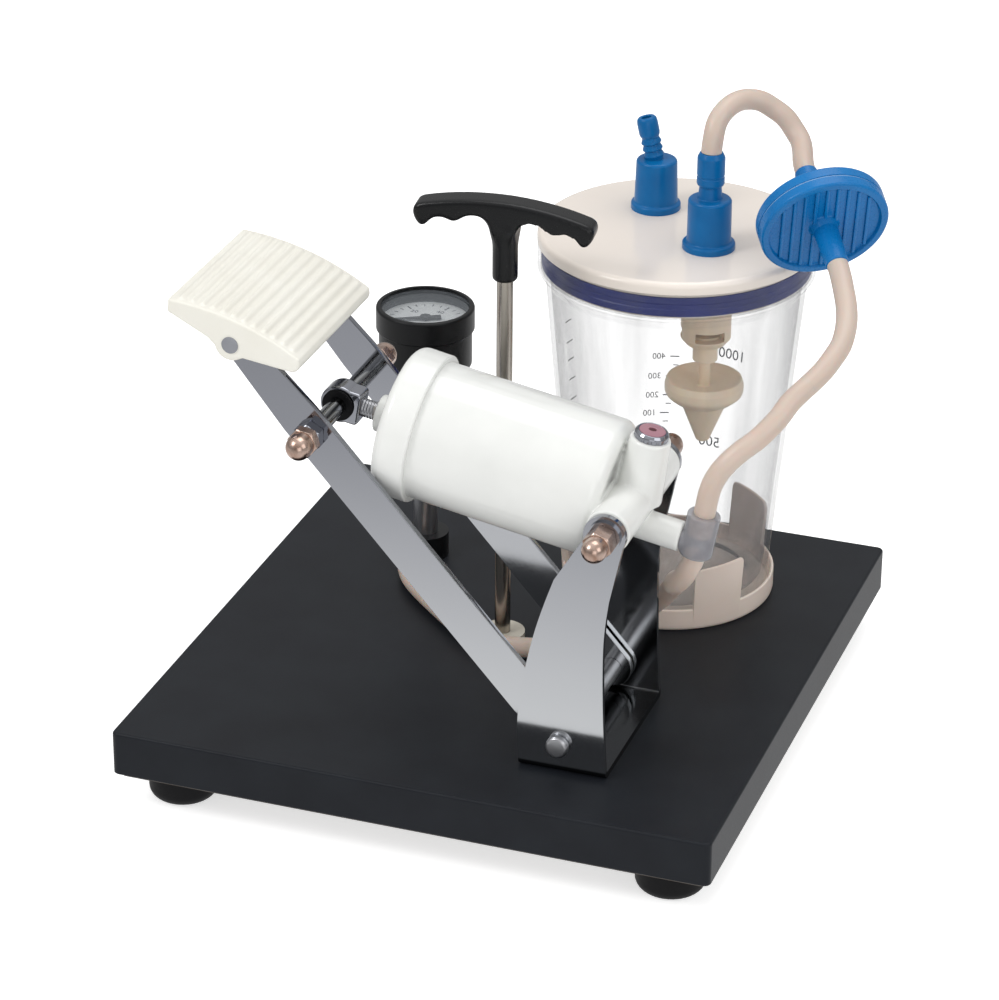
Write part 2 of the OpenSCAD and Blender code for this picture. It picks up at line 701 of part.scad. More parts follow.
// One half of the filter disc: a raised rim, a sunk face with straight ribs, and a stub
module filter_half(stub_len) {
    half_t = filter_t / 2;
    shell = 1.68;
    face_z = half_t - 1.92;
    bore_r = 3.12;
    rib_field = filter_r - 4.8;
    rib_step = 5.52;
    rib_w = 1.56;
    rib_turn = 6;
    rotate_extrude() polygon([
        [bore_r, stub_len], [stub_r - 0.6, stub_len], [stub_r, stub_len - 1.8], [stub_r + 0.48, half_t],
        [stub_r + 1.92, face_z], [filter_r - 4.8, face_z], [filter_r - 4.08, half_t],
        [filter_r - 1.2, half_t], [filter_r, half_t - 1.2],
        [filter_r, 0.36], [filter_r - 3.6, 0.36], [filter_r - 3.6, face_z - shell],
        [bore_r, face_z - shell]]);
    difference() {
        rotate([0, 0, rib_turn]) for (i = [-4:4]) let (reach = sqrt(rib_field ^ 2 - (i * rib_step) ^ 2))
            translate([-reach, i * rib_step - rib_w / 2, face_z - 0.36]) cube([2 * reach, rib_w, 1.56]);
        cylinder(r = bore_r, h = half_t + over);
    }
}

module on_filter() {
    translate(filter_centre) rotate([0, filter_lean, filter_turn]) children();
}

module filter_inlet_half() {
    color("#2f86c4", 0.6) on_filter() rotate([180, 0, 0]) filter_half(stub_in);
}

module filter_outlet_half() {
    color("#2f86c4", 0.6) on_filter() filter_half(stub_out);
}

module filter_membrane() {
    color("white") on_filter() translate([0, 0, -0.36]) cylinder(r = filter_r - 0.48, h = 0.72);
}

module hose_jar() {
    color("#d9cdbf") tube_along(jar_hose_route, hose_d / 2, [0, 0, 1], filter_dir, [1, 0, 0]);
}

module hose_pump() {
    color("#d9cdbf") tube_along(pump_hose_route, hose_d / 2, filter_dir, -pump_up_dir, [0, 0, 1]);
}

module hose_gauge() {
    color("#d9cdbf") tube_along(gauge_hose_route, hose_d / 2, -pump_up_dir, [0, 1, 0], [0, 1, 0]);
}

module pump_barrel() {
    color("white") turned_on_pump([
        [bore_r, seat_t], [barrel_r - 0.72, seat_t], [barrel_r, seat_t + 0.72], [barrel_r, barrel_end],
        [bore_r, barrel_end]]);
}

module pump_cap() {
    ring_r = 38.64;
    wall_end = barrel_end + 6;
    edge = 4.8;
    color("white") turned_on_pump(concat(
        [[barrel_r + gap, barrel_end - 12], [ring_r - 0.96, barrel_end - 12],
        [ring_r, barrel_end - 11.04]],
        arc([ring_r - edge, wall_end - edge], edge, 0, 90),
        [[9.6, wall_end], [9.6, gland_t - 0.96], [8.64, gland_t], [7.2, gland_t], [7.2, barrel_end],
        [barrel_r + gap, barrel_end]]));
}

module gland_bush() {
    color("#c9b089") turned_on_pump([
        [axle_r + play, bush_t0], [10.8, bush_t0], [10.8, barrel_end], [7.2 - gap, barrel_end],
        [7.2 - gap, gland_t], [axle_r + play, gland_t]]);
}

module pump_head() {
    boss_r = 11.4;
    boss_len = bracket_gap - 2 * washer_room;
    passage_r = 2.64;
    color("white") on_pump() difference() {
        union() {
            translate([0, boss_len / 2, 0]) rotate([90, 0, 0]) cylinder(r = boss_r, h = boss_len);
            bar_pump(9.6, seat_t, barrel_r, $fn = 96);
            bar_pump(seat_t, spigot_end, bore_r - gap);
            bar_pump(-tube_end, 12, 7.8, tube_z);
            translate([tower_x, 0, 0]) cylinder(r1 = 12, r2 = 10.2, h = tower_top);
        }
        rotate([90, 0, 0]) cylinder(r = axle_r + play, h = 2 * boss_len, center = true);
        bar_pump(-tube_end - over, spigot_end + over, 3, tube_z);
        bar_pump(-tower_x, spigot_end + over, passage_r, tube_z * -1);
        translate([tower_x, 0, 7.8]) cylinder(r = passage_r, h = tower_top);
        translate([tower_x, 0, 16.8]) cylinder(r = 6.6, h = tower_top);
    }
}

module exhaust_valve() {
    color("#26272a") on_pump() translate([tower_x, 0, 16.92]) cylinder(r = 5.76, h = 1.68);
}

module exhaust_cap() {
    color("#c9ccd2") on_pump() translate([tower_x, 0, 0]) rotate_extrude() polygon(concat(
        [[1.8, 24], [6.6 - gap, 24], [6.6 - gap, tower_top], [8.64, tower_top],
        [8.64, tower_top + 1.2]],
        arc([8.64 - 3.6, tower_top + 1.2], 3.6, 20, 90, 5),
        [[1.8, tower_top + 4.8]]));
}

module intake_valve() {
    color("#26272a") on_pump() {
        bar_pump(spigot_end + 0.12, spigot_end + 1.08, 5.52, tube_z);
        bar_pump(spigot_end - 4.8, spigot_end + 0.6, 1.32, tube_z);
    }
}

// Tee of soft clear plastic on the inlet tube's end
module tee() {
    arm_r = 8.4;
    color("#b9bec2", 0.6) on_pump() difference() {
        union() {
            translate([tee_x, 0, tee_low]) cylinder(r = arm_r, h = tee_high - tee_low);
            translate([tube_end, 0, tube_z]) rotate([0, 90, 0]) cylinder(r = 6.6, h = 6);
        }
        translate([tee_x, 0, tee_low - over]) cylinder(r = 3, h = tee_high - tee_low + 2 * over);
        translate([tube_end - over, 0, tube_z]) rotate([0, 90, 0]) cylinder(r = 3, h = 8.4);
    }
}

module piston_rod() {
    color("silver") on_pump() bar_pump(piston_t0 + 3.6, rod_t1, axle_r);
}

seal_t0 = 34.8;
seal_t1 = 39.6;
seal_in_r = 26.4;

module piston() {
    piston_r = bore_r - 0.48;
    color("#d8d8d2") turned_on_pump([
        [0, piston_t0], [piston_r, piston_t0], [piston_r, seal_t0], [seal_in_r, seal_t0],
        [seal_in_r, seal_t1], [piston_r, seal_t1], [piston_r, piston_t1], [axle_r + gap, piston_t1],
        [axle_r + gap, piston_t0 + 3.6], [0, piston_t0 + 3.6]]);
}

module cup_seal() {
    color("#26272a") turned_on_pump([
        [seal_in_r + gap, seal_t0], [bore_r - 0.12, seal_t0], [bore_r - 0.12, seal_t1],
        [seal_in_r + gap, seal_t1]]);
}

// Helical spring round the rod, between the piston and the bush
module return_spring() {
    turns = 8;
    steps = 16;
    wire_r = 1.32;
    coil_r = 13.2;
    sides = 6;
    n = turns * steps;
    rings = [for (i = [0:n], k = [0:sides - 1])
        let (a = 360 * i / steps, b = 360 * k / sides, rad = coil_r + wire_r * cos(b))
        [rad * cos(a), rad * sin(a),
        spring_t0 + (spring_t1 - spring_t0) * i / n + wire_r * sin(b)]];
    walls = [for (i = [0:n - 1], k = [0:sides - 1])
        let (a = i * sides + k, b = i * sides + (k + 1) % sides)
        each [[a, b, a + sides], [b, b + sides, a + sides]]];
    ends = [[for (k = [0:sides - 1]) sides - 1 - k], [for (k = [0:sides - 1]) n * sides + k]];
    color("silver") on_pump() rotate([0, -90, 0]) polyhedron(rings, concat(walls, ends));
}

module lock_nut() {
    thick = 7.2;
    color("silver") on_pump() translate([-piston_t1 - gap, 0, 0]) rotate([0, -90, 0])
        difference() {
            hexagon(nut_across, thick);
            translate([0, 0, -over]) cylinder(r = axle_r + gap, h = thick + 2 * over);
        }
}

// Eye on the piston rod; its bore is larger than the cross rod
module rod_end() {
    block_y = 12;
    color("#c9ccd2") on_pump() difference() {
        between_y(-block_y / 2, block_y / 2) union() {
            translate([-eye_t, 0]) circle(r = 9.9);
            translate([-eye_t, -8.8]) square([eye_t - rod_end_t, 17.6]);
        }
        bar_y(-eye_t, -eye_drop, -block_y, block_y, eye_bore_r);
        bar_pump(rod_end_t - over, rod_t1, axle_r + gap);
    }
}

// Bar outline along the lever, round at both ends and narrower at the pedal
module bar_outline() {
    end_r = 7.8;
    translate([lever_x, lever_z]) rotate(lever_angle) union() {
        circle(r = bar_w / 2);
        polygon([[0, -bar_w / 2], [cross_reach + 9.6, -bar_w / 2], [pedal_reach, -end_r],
            [pedal_reach, end_r], [cross_reach + 9.6, bar_w / 2], [0, bar_w / 2]]);
        translate([pedal_reach, 0]) circle(r = end_r);
    }
}

module lever_bars() {
    color("#c9ccd2") for (y = [bar_near_out, bar_far_out - bar_t]) difference() {
        between_y(y, y + bar_t) bar_outline();
        bar_y(lever_x, lever_z, y - over, y + bar_t + over, lever_axle_r + play);
        bar_y(cross_x, cross_z, y - over, y + bar_t + over, axle_r + gap);
        bar_y(pin_x, pin_z, y - over, y + bar_t + over, pin_r + gap);
    }
}

cross_nut_h = 6.6;

module cross_rod() {
    reach_out = cross_nut_h + 10.8;
    color("silver") bar_y(cross_x, cross_z, bar_near_out - reach_out, bar_far_out + reach_out, axle_r);
}

module cross_nuts() {
    color("#c9ccd2") for (y = [bar_near_out - cross_nut_h, bar_far_out]) difference() {
        translate([cross_x, y + cross_nut_h, cross_z]) rotate([90, 0, 0]) hexagon(13.2, cross_nut_h);
        bar_y(cross_x, cross_z, y - over, y + cross_nut_h + over, axle_r + gap);
    }
}

module cross_dome_nuts() {
    color("#c98b6b") {
        translate([cross_x, bar_near_out - cross_nut_h, cross_z]) rotate([90, 0, 0])
            dome_nut(13.8, 6, 16.2, 10.92);
        translate([cross_x, bar_far_out + cross_nut_h, cross_z]) rotate([-90, 0, 0])
            dome_nut(13.8, 6, 16.2, 10.92);
    }
}

pedal_half_w = 48;

module pedal_pin() {
    color("silver") bar_y(pin_x, pin_z, mid_y - pedal_half_w - 0.48, mid_y + pedal_half_w + 0.48, pin_r);
}

// The pedal's arched top, from its left to its right edge, about the pin
tread_r = 140.4;
tread_centre = [-39.96, -120.72];
tread_a0 = 87;
tread_a1 = 57.2;
function tread(r, n) = arc(tread_centre, r, tread_a0, tread_a1, n);

module pedal_outline() {
    polygon(concat(
        [[-33.36, 12.84]],
        tread(tread_r, 14),
        arc([31.92, -5.52], 4.44, 0, -100, 6),
        [[6.24, -6.48]],
        arc([0, 0], 8.64, -60, -170, 8),
        [[-12, 1.92]]));
}

module pedal_hollow() {
    wall = 3.6;
    inner = arc(tread_centre, tread_r - wall, tread_a0 - 1.5, 62.5, 10);
    polygon(concat(
        [[inner[0][0], -24]],
        inner,
        [[inner[10][0], -24]]));
}

module pedal() {
    wall = 3.6;
    ribs = 10;
    color("#eae3d2") translate([pin_x, mid_y, pin_z]) difference() {
        union() {
            between_y(-pedal_half_w, pedal_half_w) pedal_outline();
            for (i = [1:ribs]) let (p = tread(tread_r - 0.48, ribs + 1)[i])
                bar_y(p[0], p[1], -pedal_half_w + 2.4, pedal_half_w - 2.4, 1.44);
        }
        between_y(-pedal_half_w + wall, pedal_half_w - wall) pedal_hollow();
        bar_y(0, 0, -pedal_half_w - over, pedal_half_w + over, pin_r + play);
    }
}

base_pan();
base_board();
rubber_feet();
foot_posts();
foot_screws();
bracket();
panel_screws();
panel_nuts();
lever_axle();
lever_spacer();
pump_axle();
pump_washers();
pump_dome_nuts();
axle_washers();
hex_nuts();
handle_rod();
handle_washer();
handle_grip();
gauge_foot();
gauge_post();
gauge_case();
gauge_bezel();
gauge_lens();
gauge_dial();
jar_holder();
jar();
filter_inlet_half();
filter_outlet_half();
filter_membrane();
hose_jar();
hose_pump();
hose_gauge();
gauge_needle();
lid();
lid_gasket();
patient_nozzle();
vacuum_nozzle();
vacuum_connector();
float_cage();
float_valve();
pump_barrel();
pump_cap();
gland_bush();
pump_head();
exhaust_cap();
tee();
exhaust_valve();
intake_valve();
piston_rod();
piston();
cup_seal();
return_spring();
lock_nut();
rod_end();
lever_bars();
cross_rod();
cross_nuts();
cross_dome_nuts();
pedal_pin();
pedal();
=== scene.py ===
"""A foot-operated suction pump: its visible pieces, finishes, camera and light.

Shapes are drawn in millimetres in the part's own frame, and piece() turns them into metres:
+X points to the jar, +Y away from the pedal lever, +Z up from the surface it stands on.
"""
import json
import math

import bmesh
import bpy
from mathutils import Matrix, Vector

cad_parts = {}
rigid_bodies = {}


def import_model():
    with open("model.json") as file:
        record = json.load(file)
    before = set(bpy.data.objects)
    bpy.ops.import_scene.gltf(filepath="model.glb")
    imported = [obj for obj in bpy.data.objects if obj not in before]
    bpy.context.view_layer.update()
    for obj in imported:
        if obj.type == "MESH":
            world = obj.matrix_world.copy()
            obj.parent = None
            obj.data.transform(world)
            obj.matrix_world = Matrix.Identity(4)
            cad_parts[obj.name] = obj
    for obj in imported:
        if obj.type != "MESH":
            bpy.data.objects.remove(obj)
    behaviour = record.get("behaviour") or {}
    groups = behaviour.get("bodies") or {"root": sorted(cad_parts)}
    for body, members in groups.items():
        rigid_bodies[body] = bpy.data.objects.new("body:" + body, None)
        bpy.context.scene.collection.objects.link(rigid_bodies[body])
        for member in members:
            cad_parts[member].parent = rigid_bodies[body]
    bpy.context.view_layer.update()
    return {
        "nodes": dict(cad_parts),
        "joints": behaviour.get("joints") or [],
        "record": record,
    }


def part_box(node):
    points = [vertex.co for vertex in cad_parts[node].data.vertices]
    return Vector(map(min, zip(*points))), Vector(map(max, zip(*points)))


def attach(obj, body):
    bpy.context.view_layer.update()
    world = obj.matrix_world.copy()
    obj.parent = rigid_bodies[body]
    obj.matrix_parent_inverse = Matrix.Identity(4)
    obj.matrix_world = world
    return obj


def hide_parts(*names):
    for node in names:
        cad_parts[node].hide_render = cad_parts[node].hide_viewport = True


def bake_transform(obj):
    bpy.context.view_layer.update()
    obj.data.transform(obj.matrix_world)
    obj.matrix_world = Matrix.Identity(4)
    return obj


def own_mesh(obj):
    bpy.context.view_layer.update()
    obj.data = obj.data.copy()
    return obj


MM = 0.001

for left_over in list(bpy.data.objects):
    bpy.data.objects.remove(left_over)
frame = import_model()
nodes = frame["nodes"]
joints = {joint["name"]: joint for joint in frame["joints"]}
slot_of = {entry["node"]: entry["material_slot"] for entry in frame["record"]["subparts"]}


def box_mm(node):
    """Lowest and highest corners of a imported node, in millimetres."""
    low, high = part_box(node)
    return Vector(low) / MM, Vector(high) / MM


def middle(node):
    low, high = box_mm(node)
    return (low + high) / 2


# Camera
EYE = (594.6, -1722.7, 1035.5)
CAMERA_TURN = 19.317
CAMERA_TILT = 26.546
CAMERA_ROLL = 0.401
CAMERA_LENS = 140.26


def turned(degrees, axis):
    return Matrix.Rotation(math.radians(degrees), 4, axis)


def add_camera():
    data = bpy.data.cameras.new("camera")
    data.lens = CAMERA_LENS
    data.sensor_width = 36
    data.clip_end = 30
    camera = bpy.data.objects.new("camera", data)
    aim = turned(CAMERA_TURN, "Z") @ turned(90 - CAMERA_TILT, "X") @ turned(CAMERA_ROLL, "Z")
    camera.matrix_world = Matrix.Translation(Vector(EYE) * MM) @ aim
    bpy.context.scene.collection.objects.link(camera)
    bpy.context.scene.camera = camera


add_camera()


# Frames of the tilted groups
PUMP_AT = Vector(joints["pump_swing"]["pos_m"]) / MM
PUMP_DIR = Vector(joints["rod_slide"]["axis"]).normalized()
PUMP_TILT = math.degrees(math.atan2(PUMP_DIR.z, -PUMP_DIR.x))
PUMP = Matrix.Translation(PUMP_AT) @ turned(PUMP_TILT, "Y")
PUMP_UP = (PUMP @ Vector((0, 0, 1))) - PUMP_AT
PUMP_AXIS = PUMP @ turned(-90, "Y")
HINGE_AT = Vector(joints["lever_hinge"]["pos_m"]) / MM
PIN_AT = Vector(joints["pedal_tilt"]["pos_m"]) / MM
LEVER_SLOPE = math.degrees(math.atan2(PIN_AT.z - HINGE_AT.z, PIN_AT.x - HINGE_AT.x))
PIN_REACH = (PIN_AT - HINGE_AT).length
LEVER = Matrix.Translation(HINGE_AT) @ turned(-LEVER_SLOPE, "Y")
PEDAL = Matrix.Translation(PIN_AT)
FILTER_AT = Vector((144.6, 50.04, 284.52))
FILTER = Matrix.Translation(FILTER_AT) @ turned(-57, "Z") @ turned(116, "Y")
FILTER_DIR = (FILTER @ Vector((0, 0, 1))) - FILTER_AT
STANDING = turned(90, "X")
MID_Y = middle("bracket").y


def moved(x, y, z=0):
    return Matrix.Translation((x, y, z))


JAR = moved(middle("jar").x, middle("jar").y)


# Outlines
def arc(centre, radius, start, end, count=8):
    points = []
    for step in range(count + 1):
        angle = math.radians(start + (end - start) * step / count)
        points.append((centre[0] + radius * math.cos(angle), centre[1] + radius * math.sin(angle)))
    return points


def rounded(corners, steps=4, closed=True):
    """Outline through corners (x, y, radius), each one rounded by its radius."""
    points = []
    count = len(corners)
    for index, (x, y, radius) in enumerate(corners):
        if radius == 0 or (not closed and index in (0, count - 1)):
            points.append((x, y))
            continue
        here = Vector((x, y))
        before = (Vector(corners[index - 1][:2]) - here).normalized()
        after = (Vector(corners[(index + 1) % count][:2]) - here).normalized()
        half = before.angle(after) / 2
        centre = here + (before + after).normalized() * radius / math.sin(half)
        first = here + before * radius / math.tan(half) - centre
        last = here + after * radius / math.tan(half) - centre
        sweep = first.angle(last)
        for step in range(steps + 1):
            part = step / steps
            swung = math.sin((1 - part) * sweep) * first + math.sin(part * sweep) * last
            point = centre + swung / math.sin(sweep)
            points.append((point.x, point.y))
    return points


def eased(points, rounds=3):
    """The same open line with its corners cut, so that it reads as one curve."""
    for turn in range(rounds):
        cut = [points[0]]
        for (ax, ay), (bx, by) in zip(points, points[1:]):
            cut += [(0.75 * ax + 0.25 * bx, 0.75 * ay + 0.25 * by),
                    (0.25 * ax + 0.75 * bx, 0.25 * ay + 0.75 * by)]
        points = cut + [points[-1]]
    return points


def inset(outline, depth):
    """The same outline moved inwards; it runs anticlockwise."""
    if depth == 0:
        return list(outline)
    shifted = []
    for index, point in enumerate(outline):
        here = Vector(point)
        before = (here - Vector(outline[index - 1])).normalized()
        after = (Vector(outline[(index + 1) % len(outline)]) - here).normalized()
        normal_a = Vector((-before.y, before.x))
        normal_b = Vector((-after.y, after.x))
        both = normal_a + normal_b
        shift = both * depth / max(0.2, 1 + normal_a.dot(normal_b))
        shifted.append((point[0] + shift.x, point[1] + shift.y))
    return shifted


def at_height(outline, z):
    return [Vector((x, y, z)) for x, y in outline]


# Mesh building
def loft(bm, loops, place=Matrix.Identity(4), ring=False):
    """Skin over closed loops of equal length, closed at both ends or into a ring."""
    rows = [[bm.verts.new(place @ Vector(point)) for point in loop] for loop in loops]
    pairs = list(zip(rows, rows[1:]))
    if ring:
        pairs.append((rows[-1], rows[0]))
    for first, second in pairs:
        for index in range(len(first)):
            after = (index + 1) % len(first)
            bm.faces.new((first[index], first[after], second[after], second[index]))
    if not ring:
        bm.faces.new(list(reversed(rows[0])))
        bm.faces.new(rows[-1])


def rim_loops(outline, z, toward, edge, steps):
    """Loops that round a rim: from the full outline at z to the inset one at z + toward * edge."""
    loops = []
    for step in range(steps + 1):
        angle = math.radians(90 * step / steps)
        ring = inset(outline, edge * (1 - math.cos(angle)))
        loops.append(at_height(ring, z + toward * edge * math.sin(angle)))
    return loops


def add_slab(bm, outline, low, high, edge, place=Matrix.Identity(4), steps=3):
    """Flat piece with both rims rounded."""
    lower = list(reversed(rim_loops(outline, low + edge, -1, edge, steps)))
    upper = rim_loops(outline, high - edge, 1, edge, steps)
    loft(bm, lower + upper, place)


def add_upright(bm, outline, y0, y1, edge, place=Matrix.Identity(4), steps=3):
    """The same, for an outline in X and Z between two Y planes."""
    add_slab(bm, outline, -y1, -y0, edge, place @ STANDING, steps)


def add_lathe(bm, profile, place=Matrix.Identity(4), segments=96):
    """Turned shape: a closed profile of (radius, height), round the Z axis of its place."""
    angles = [math.tau * index / segments for index in range(segments)]
    rows = []
    for radius, height in profile:
        if radius < 1e-6:
            rows.append([bm.verts.new(place @ Vector((0, 0, height)))])
        else:
            rows.append([
                bm.verts.new(place @ Vector((radius * math.cos(a), radius * math.sin(a), height)))
                for a in angles])
    for first, second in zip(rows, rows[1:] + rows[:1]):
        if len(first) == 1 and len(second) == 1:
            continue
        for index in range(segments):
            after = (index + 1) % segments
            if len(first) == 1:
                bm.faces.new((first[0], second[after], second[index]))
            elif len(second) == 1:
                bm.faces.new((first[index], first[after], second[0]))
            else:
                bm.faces.new((first[index], first[after], second[after], second[index]))


def add_hexagon(bm, across, high, place):
    """Hexagon bar whose corners are turned down at its ends, as on a machined nut."""
    per_side = 8
    flat = across / 2
    face_edge = flat - 0.25
    slope = math.tan(math.radians(30))
    drop = (across / math.sqrt(3) - face_edge) * slope
    depths = [drop * part for part in (0, 0.2, 0.4, 0.65, 1)]
    levels = [(depth, depth) for depth in depths] + [(high - depth, depth) for depth in reversed(depths)]
    loops = []
    for z, depth in levels:
        limit = face_edge + depth / slope
        loop = []
        for index in range(6 * per_side):
            angle = 60 * index / per_side
            side = flat / math.cos(math.radians((angle + 30) % 60 - 30))
            reach = min(side, limit)
            loop.append((reach * math.cos(math.radians(angle)), reach * math.sin(math.radians(angle)), z))
        loops.append(loop)
    loft(bm, loops, place)


def add_dome_nut(bm, across, hex_h, full_h, place):
    dome_r = across / 2 - 0.36
    add_hexagon(bm, across, hex_h, place)
    top = full_h - dome_r
    profile = [(0, 0.5), (dome_r, 0.5), (dome_r, top)] + arc((0, top), dome_r, 8, 90, 11)
    profile[-1] = (0, full_h)
    add_lathe(bm, profile, place, 64)


def add_bar(bm, radius, low, high, edge, place, segments=64):
    """Round bar along the place's Z axis, with rounded rims."""
    profile = rounded([(0, low, 0), (radius, low, edge), (radius, high, edge), (0, high, 0)])
    add_lathe(bm, profile, place, segments)


def along_y(x, z, y):
    """Place whose Z axis runs along the part's +Y, from a point."""
    return moved(x, y, z) @ turned(-90, "X")


def temporary(bm):
    mesh = bpy.data.meshes.new("temporary")
    bmesh.ops.recalc_face_normals(bm, faces=bm.faces)
    bm.to_mesh(mesh)
    bm.free()
    holder = bpy.data.objects.new("temporary", mesh)
    bpy.context.scene.collection.objects.link(holder)
    return holder


def settled(holder):
    """The holder's mesh after its modifiers, as a new bmesh; the holder goes."""
    depsgraph = bpy.context.evaluated_depsgraph_get()
    result = bmesh.new()
    result.from_mesh(holder.evaluated_get(depsgraph).to_mesh())
    mesh = holder.data
    bpy.data.objects.remove(holder)
    bpy.data.meshes.remove(mesh)
    return result


def carve(bm, tool, operation):
    """Boolean of two solids."""
    body = temporary(bm)
    cutter = temporary(tool)
    boolean = body.modifiers.new("carve", "BOOLEAN")
    boolean.operation = operation
    boolean.solver = "EXACT"
    boolean.use_self = True
    boolean.object = cutter
    result = settled(body)
    mesh = cutter.data
    bpy.data.objects.remove(cutter)
    bpy.data.meshes.remove(mesh)
    return result


def bevelled(bm, width):
    holder = temporary(bm)
    bevel = holder.modifiers.new("bevel", "BEVEL")
    bevel.width = width
    bevel.segments = 2
    bevel.limit_method = "ANGLE"
    bevel.angle_limit = math.radians(50)
    return settled(holder)


def fuse(bm, cell, rounds, keep=0.5):
    """Overlapping solids joined into one moulded skin with soft fillets."""
    holder = temporary(bm)
    remesh = holder.modifiers.new("remesh", "REMESH")
    remesh.mode = "VOXEL"
    remesh.voxel_size = cell
    smooth = holder.modifiers.new("smooth", "SMOOTH")
    smooth.factor = 0.5
    smooth.iterations = rounds
    thin = holder.modifiers.new("thin", "DECIMATE")
    thin.ratio = keep
    return settled(holder)


def piece(name, bm, body, slot, *replaced, look=None, sharp=40, even=True):
    """Turns a mesh into a piece that rides on a body and stands for its nodes."""
    bmesh.ops.recalc_face_normals(bm, faces=bm.faces)
    bmesh.ops.scale(bm, vec=(MM, MM, MM), verts=bm.verts)
    mesh = bpy.data.meshes.new(name)
    bm.to_mesh(mesh)
    bm.free()
    mesh.shade_smooth()
    mesh.set_sharp_from_angle(angle=math.radians(sharp))
    mesh.materials.append(look or looks[slot])
    shape = bpy.data.objects.new(name, mesh)
    bpy.context.scene.collection.objects.link(shape)
    if even:
        weigh = shape.modifiers.new("weigh", "WEIGHTED_NORMAL")
        weigh.keep_sharp = True
        depsgraph = bpy.context.evaluated_depsgraph_get()
        settled_mesh = bpy.data.meshes.new_from_object(shape.evaluated_get(depsgraph))
        shape.modifiers.clear()
        shape.data = settled_mesh
        settled_mesh.name = name
    if body:
        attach(shape, body)
    if replaced:
        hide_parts(*replaced)
    return shape


def turned_piece(name, profile, place, segments, body, slot, *replaced, **options):
    bm = bmesh.new()
    add_lathe(bm, profile, place, segments)
    return piece(name, bm, body, slot, *replaced, **options)


# Finishes
def srgb(red, green, blue):
    """A colour as seen on screen, 0 to 255, as linear values."""
    parts = []
    for value in (red, green, blue):
        part = value / 255
        parts.append(part / 12.92 if part <= 0.04045 else ((part + 0.055) / 1.055) ** 2.4)
    return (*parts, 1)


looks = {}


def step(tree, kind, result, inputs=None, operation=None):
    """Adds a shader node fed by sockets and constants, and returns one of its outputs."""
    node = tree.nodes.new("ShaderNode" + kind)
    if operation:
        node.operation = operation
    for name, value in (inputs or {}).items():
        if isinstance(value, bpy.types.NodeSocket):
            tree.links.new(value, node.inputs[name])
        else:
            node.inputs[name].default_value = value
    return node.outputs[result]


def combined(tree, operation, first, second):
    return step(tree, "Math", "Value", {0: first, 1: second}, operation)


def mapped(tree, value, low, high, at_low, at_high):
    return step(tree, "MapRange", "Result", {
        "Value": value, "From Min": low, "From Max": high, "To Min": at_low, "To Max": at_high})


def noise(tree, place, scale, detail):
    return step(tree, "TexNoise", "Fac", {"Vector": place, "Scale": scale, "Detail": detail})


def object_place(tree, stretch=(1, 1, 1)):
    return step(tree, "Mapping", "Vector", {"Vector": step(tree, "TexCoord", "Object"), "Scale": stretch})


def bumped(tree, height, strength, distance):
    return step(tree, "Bump", "Normal", {"Height": height, "Strength": strength, "Distance": distance})


def ramp(tree, value, stops):
    """Colour that follows a value through stops of (position, tone)."""
    node = tree.nodes.new("ShaderNodeValToRGB")
    elements = node.color_ramp.elements
    for element, (position, tone) in zip(elements, (stops[0], stops[-1])):
        element.position = position
        element.color = tone
    for position, tone in stops[1:-1]:
        elements.new(position).color = tone
    tree.links.new(value, node.inputs["Fac"])
    return node.outputs["Color"]


def rays(tree, *kinds):
    """1 for a ray of one of these kinds, and 0 for others."""
    path = tree.nodes.new("ShaderNodeLightPath").outputs
    total = path[kinds[0]]
    for kind in kinds[1:]:
        total = combined(tree, "MAXIMUM", total, path[kind])
    return total


def finish(slot, light, dark, rough, mottle=30, grain=700, relief=0.03, stretch=(1, 1, 1), **sockets):
    """Surface whose colour drifts between two tones, with grain in its gloss and relief."""
    material = bpy.data.materials.new(slot)
    material.use_nodes = True
    tree = material.node_tree
    feed = tree.links.new
    shader = tree.nodes["Principled BSDF"].inputs
    place = object_place(tree, stretch)
    tones = ramp(tree, noise(tree, place, mottle, 4), ((0.3, srgb(*dark)), (0.7, srgb(*light))))
    feed(tones, shader["Base Color"])
    fine = noise(tree, place, grain, 3)
    feed(mapped(tree, fine, 0, 1, *rough), shader["Roughness"])
    if relief:
        feed(bumped(tree, fine, relief, 0.0005), shader["Normal"])
    for socket, value in sockets.items():
        shader[socket.replace("_", " ")].default_value = value
    looks[slot] = material
    return material


def painted_reflection_plate(slot, lower_painted_reflection_tone, upper_painted_reflection_tone, rough, wave):
    """Polished plate with painted light: a painted dark shade and reflection at its foot, a painted
    reflection that darkens towards its top, and slightly wavy.
    """
    material = finish(slot, lower_painted_reflection_tone, upper_painted_reflection_tone, (rough, rough + 0.05), relief=0, Metallic=1)
    tree = material.node_tree
    shader = tree.nodes["Principled BSDF"].inputs
    # Painted shade and dark reflection: the lowest few millimetres above the base are painted dark, then
    # fade into the painted reflection gradient.
    foot_painted_shade_tone, foot_painted_shade_height, foot_painted_shade_fade = srgb(70, 71, 73), 0.0032, 0.004
    floor_z, top_z = box_mm("base_pan")[1].z * MM, 0.21
    span = top_z - floor_z
    height = step(tree, "SeparateXYZ", "Z", {"Vector": step(tree, "TexCoord", "Object")})
    tones = ramp(tree, mapped(tree, height, floor_z, top_z, 0, 1), (
        (0, foot_painted_shade_tone), (foot_painted_shade_height / span, foot_painted_shade_tone), (foot_painted_shade_fade / span, srgb(*lower_painted_reflection_tone)),
        (1, srgb(*upper_painted_reflection_tone))))
    tree.links.new(tones, shader["Base Color"])
    swell = noise(tree, object_place(tree), 24, 1)
    tree.links.new(bumped(tree, swell, wave, 0.001), shader["Normal"])


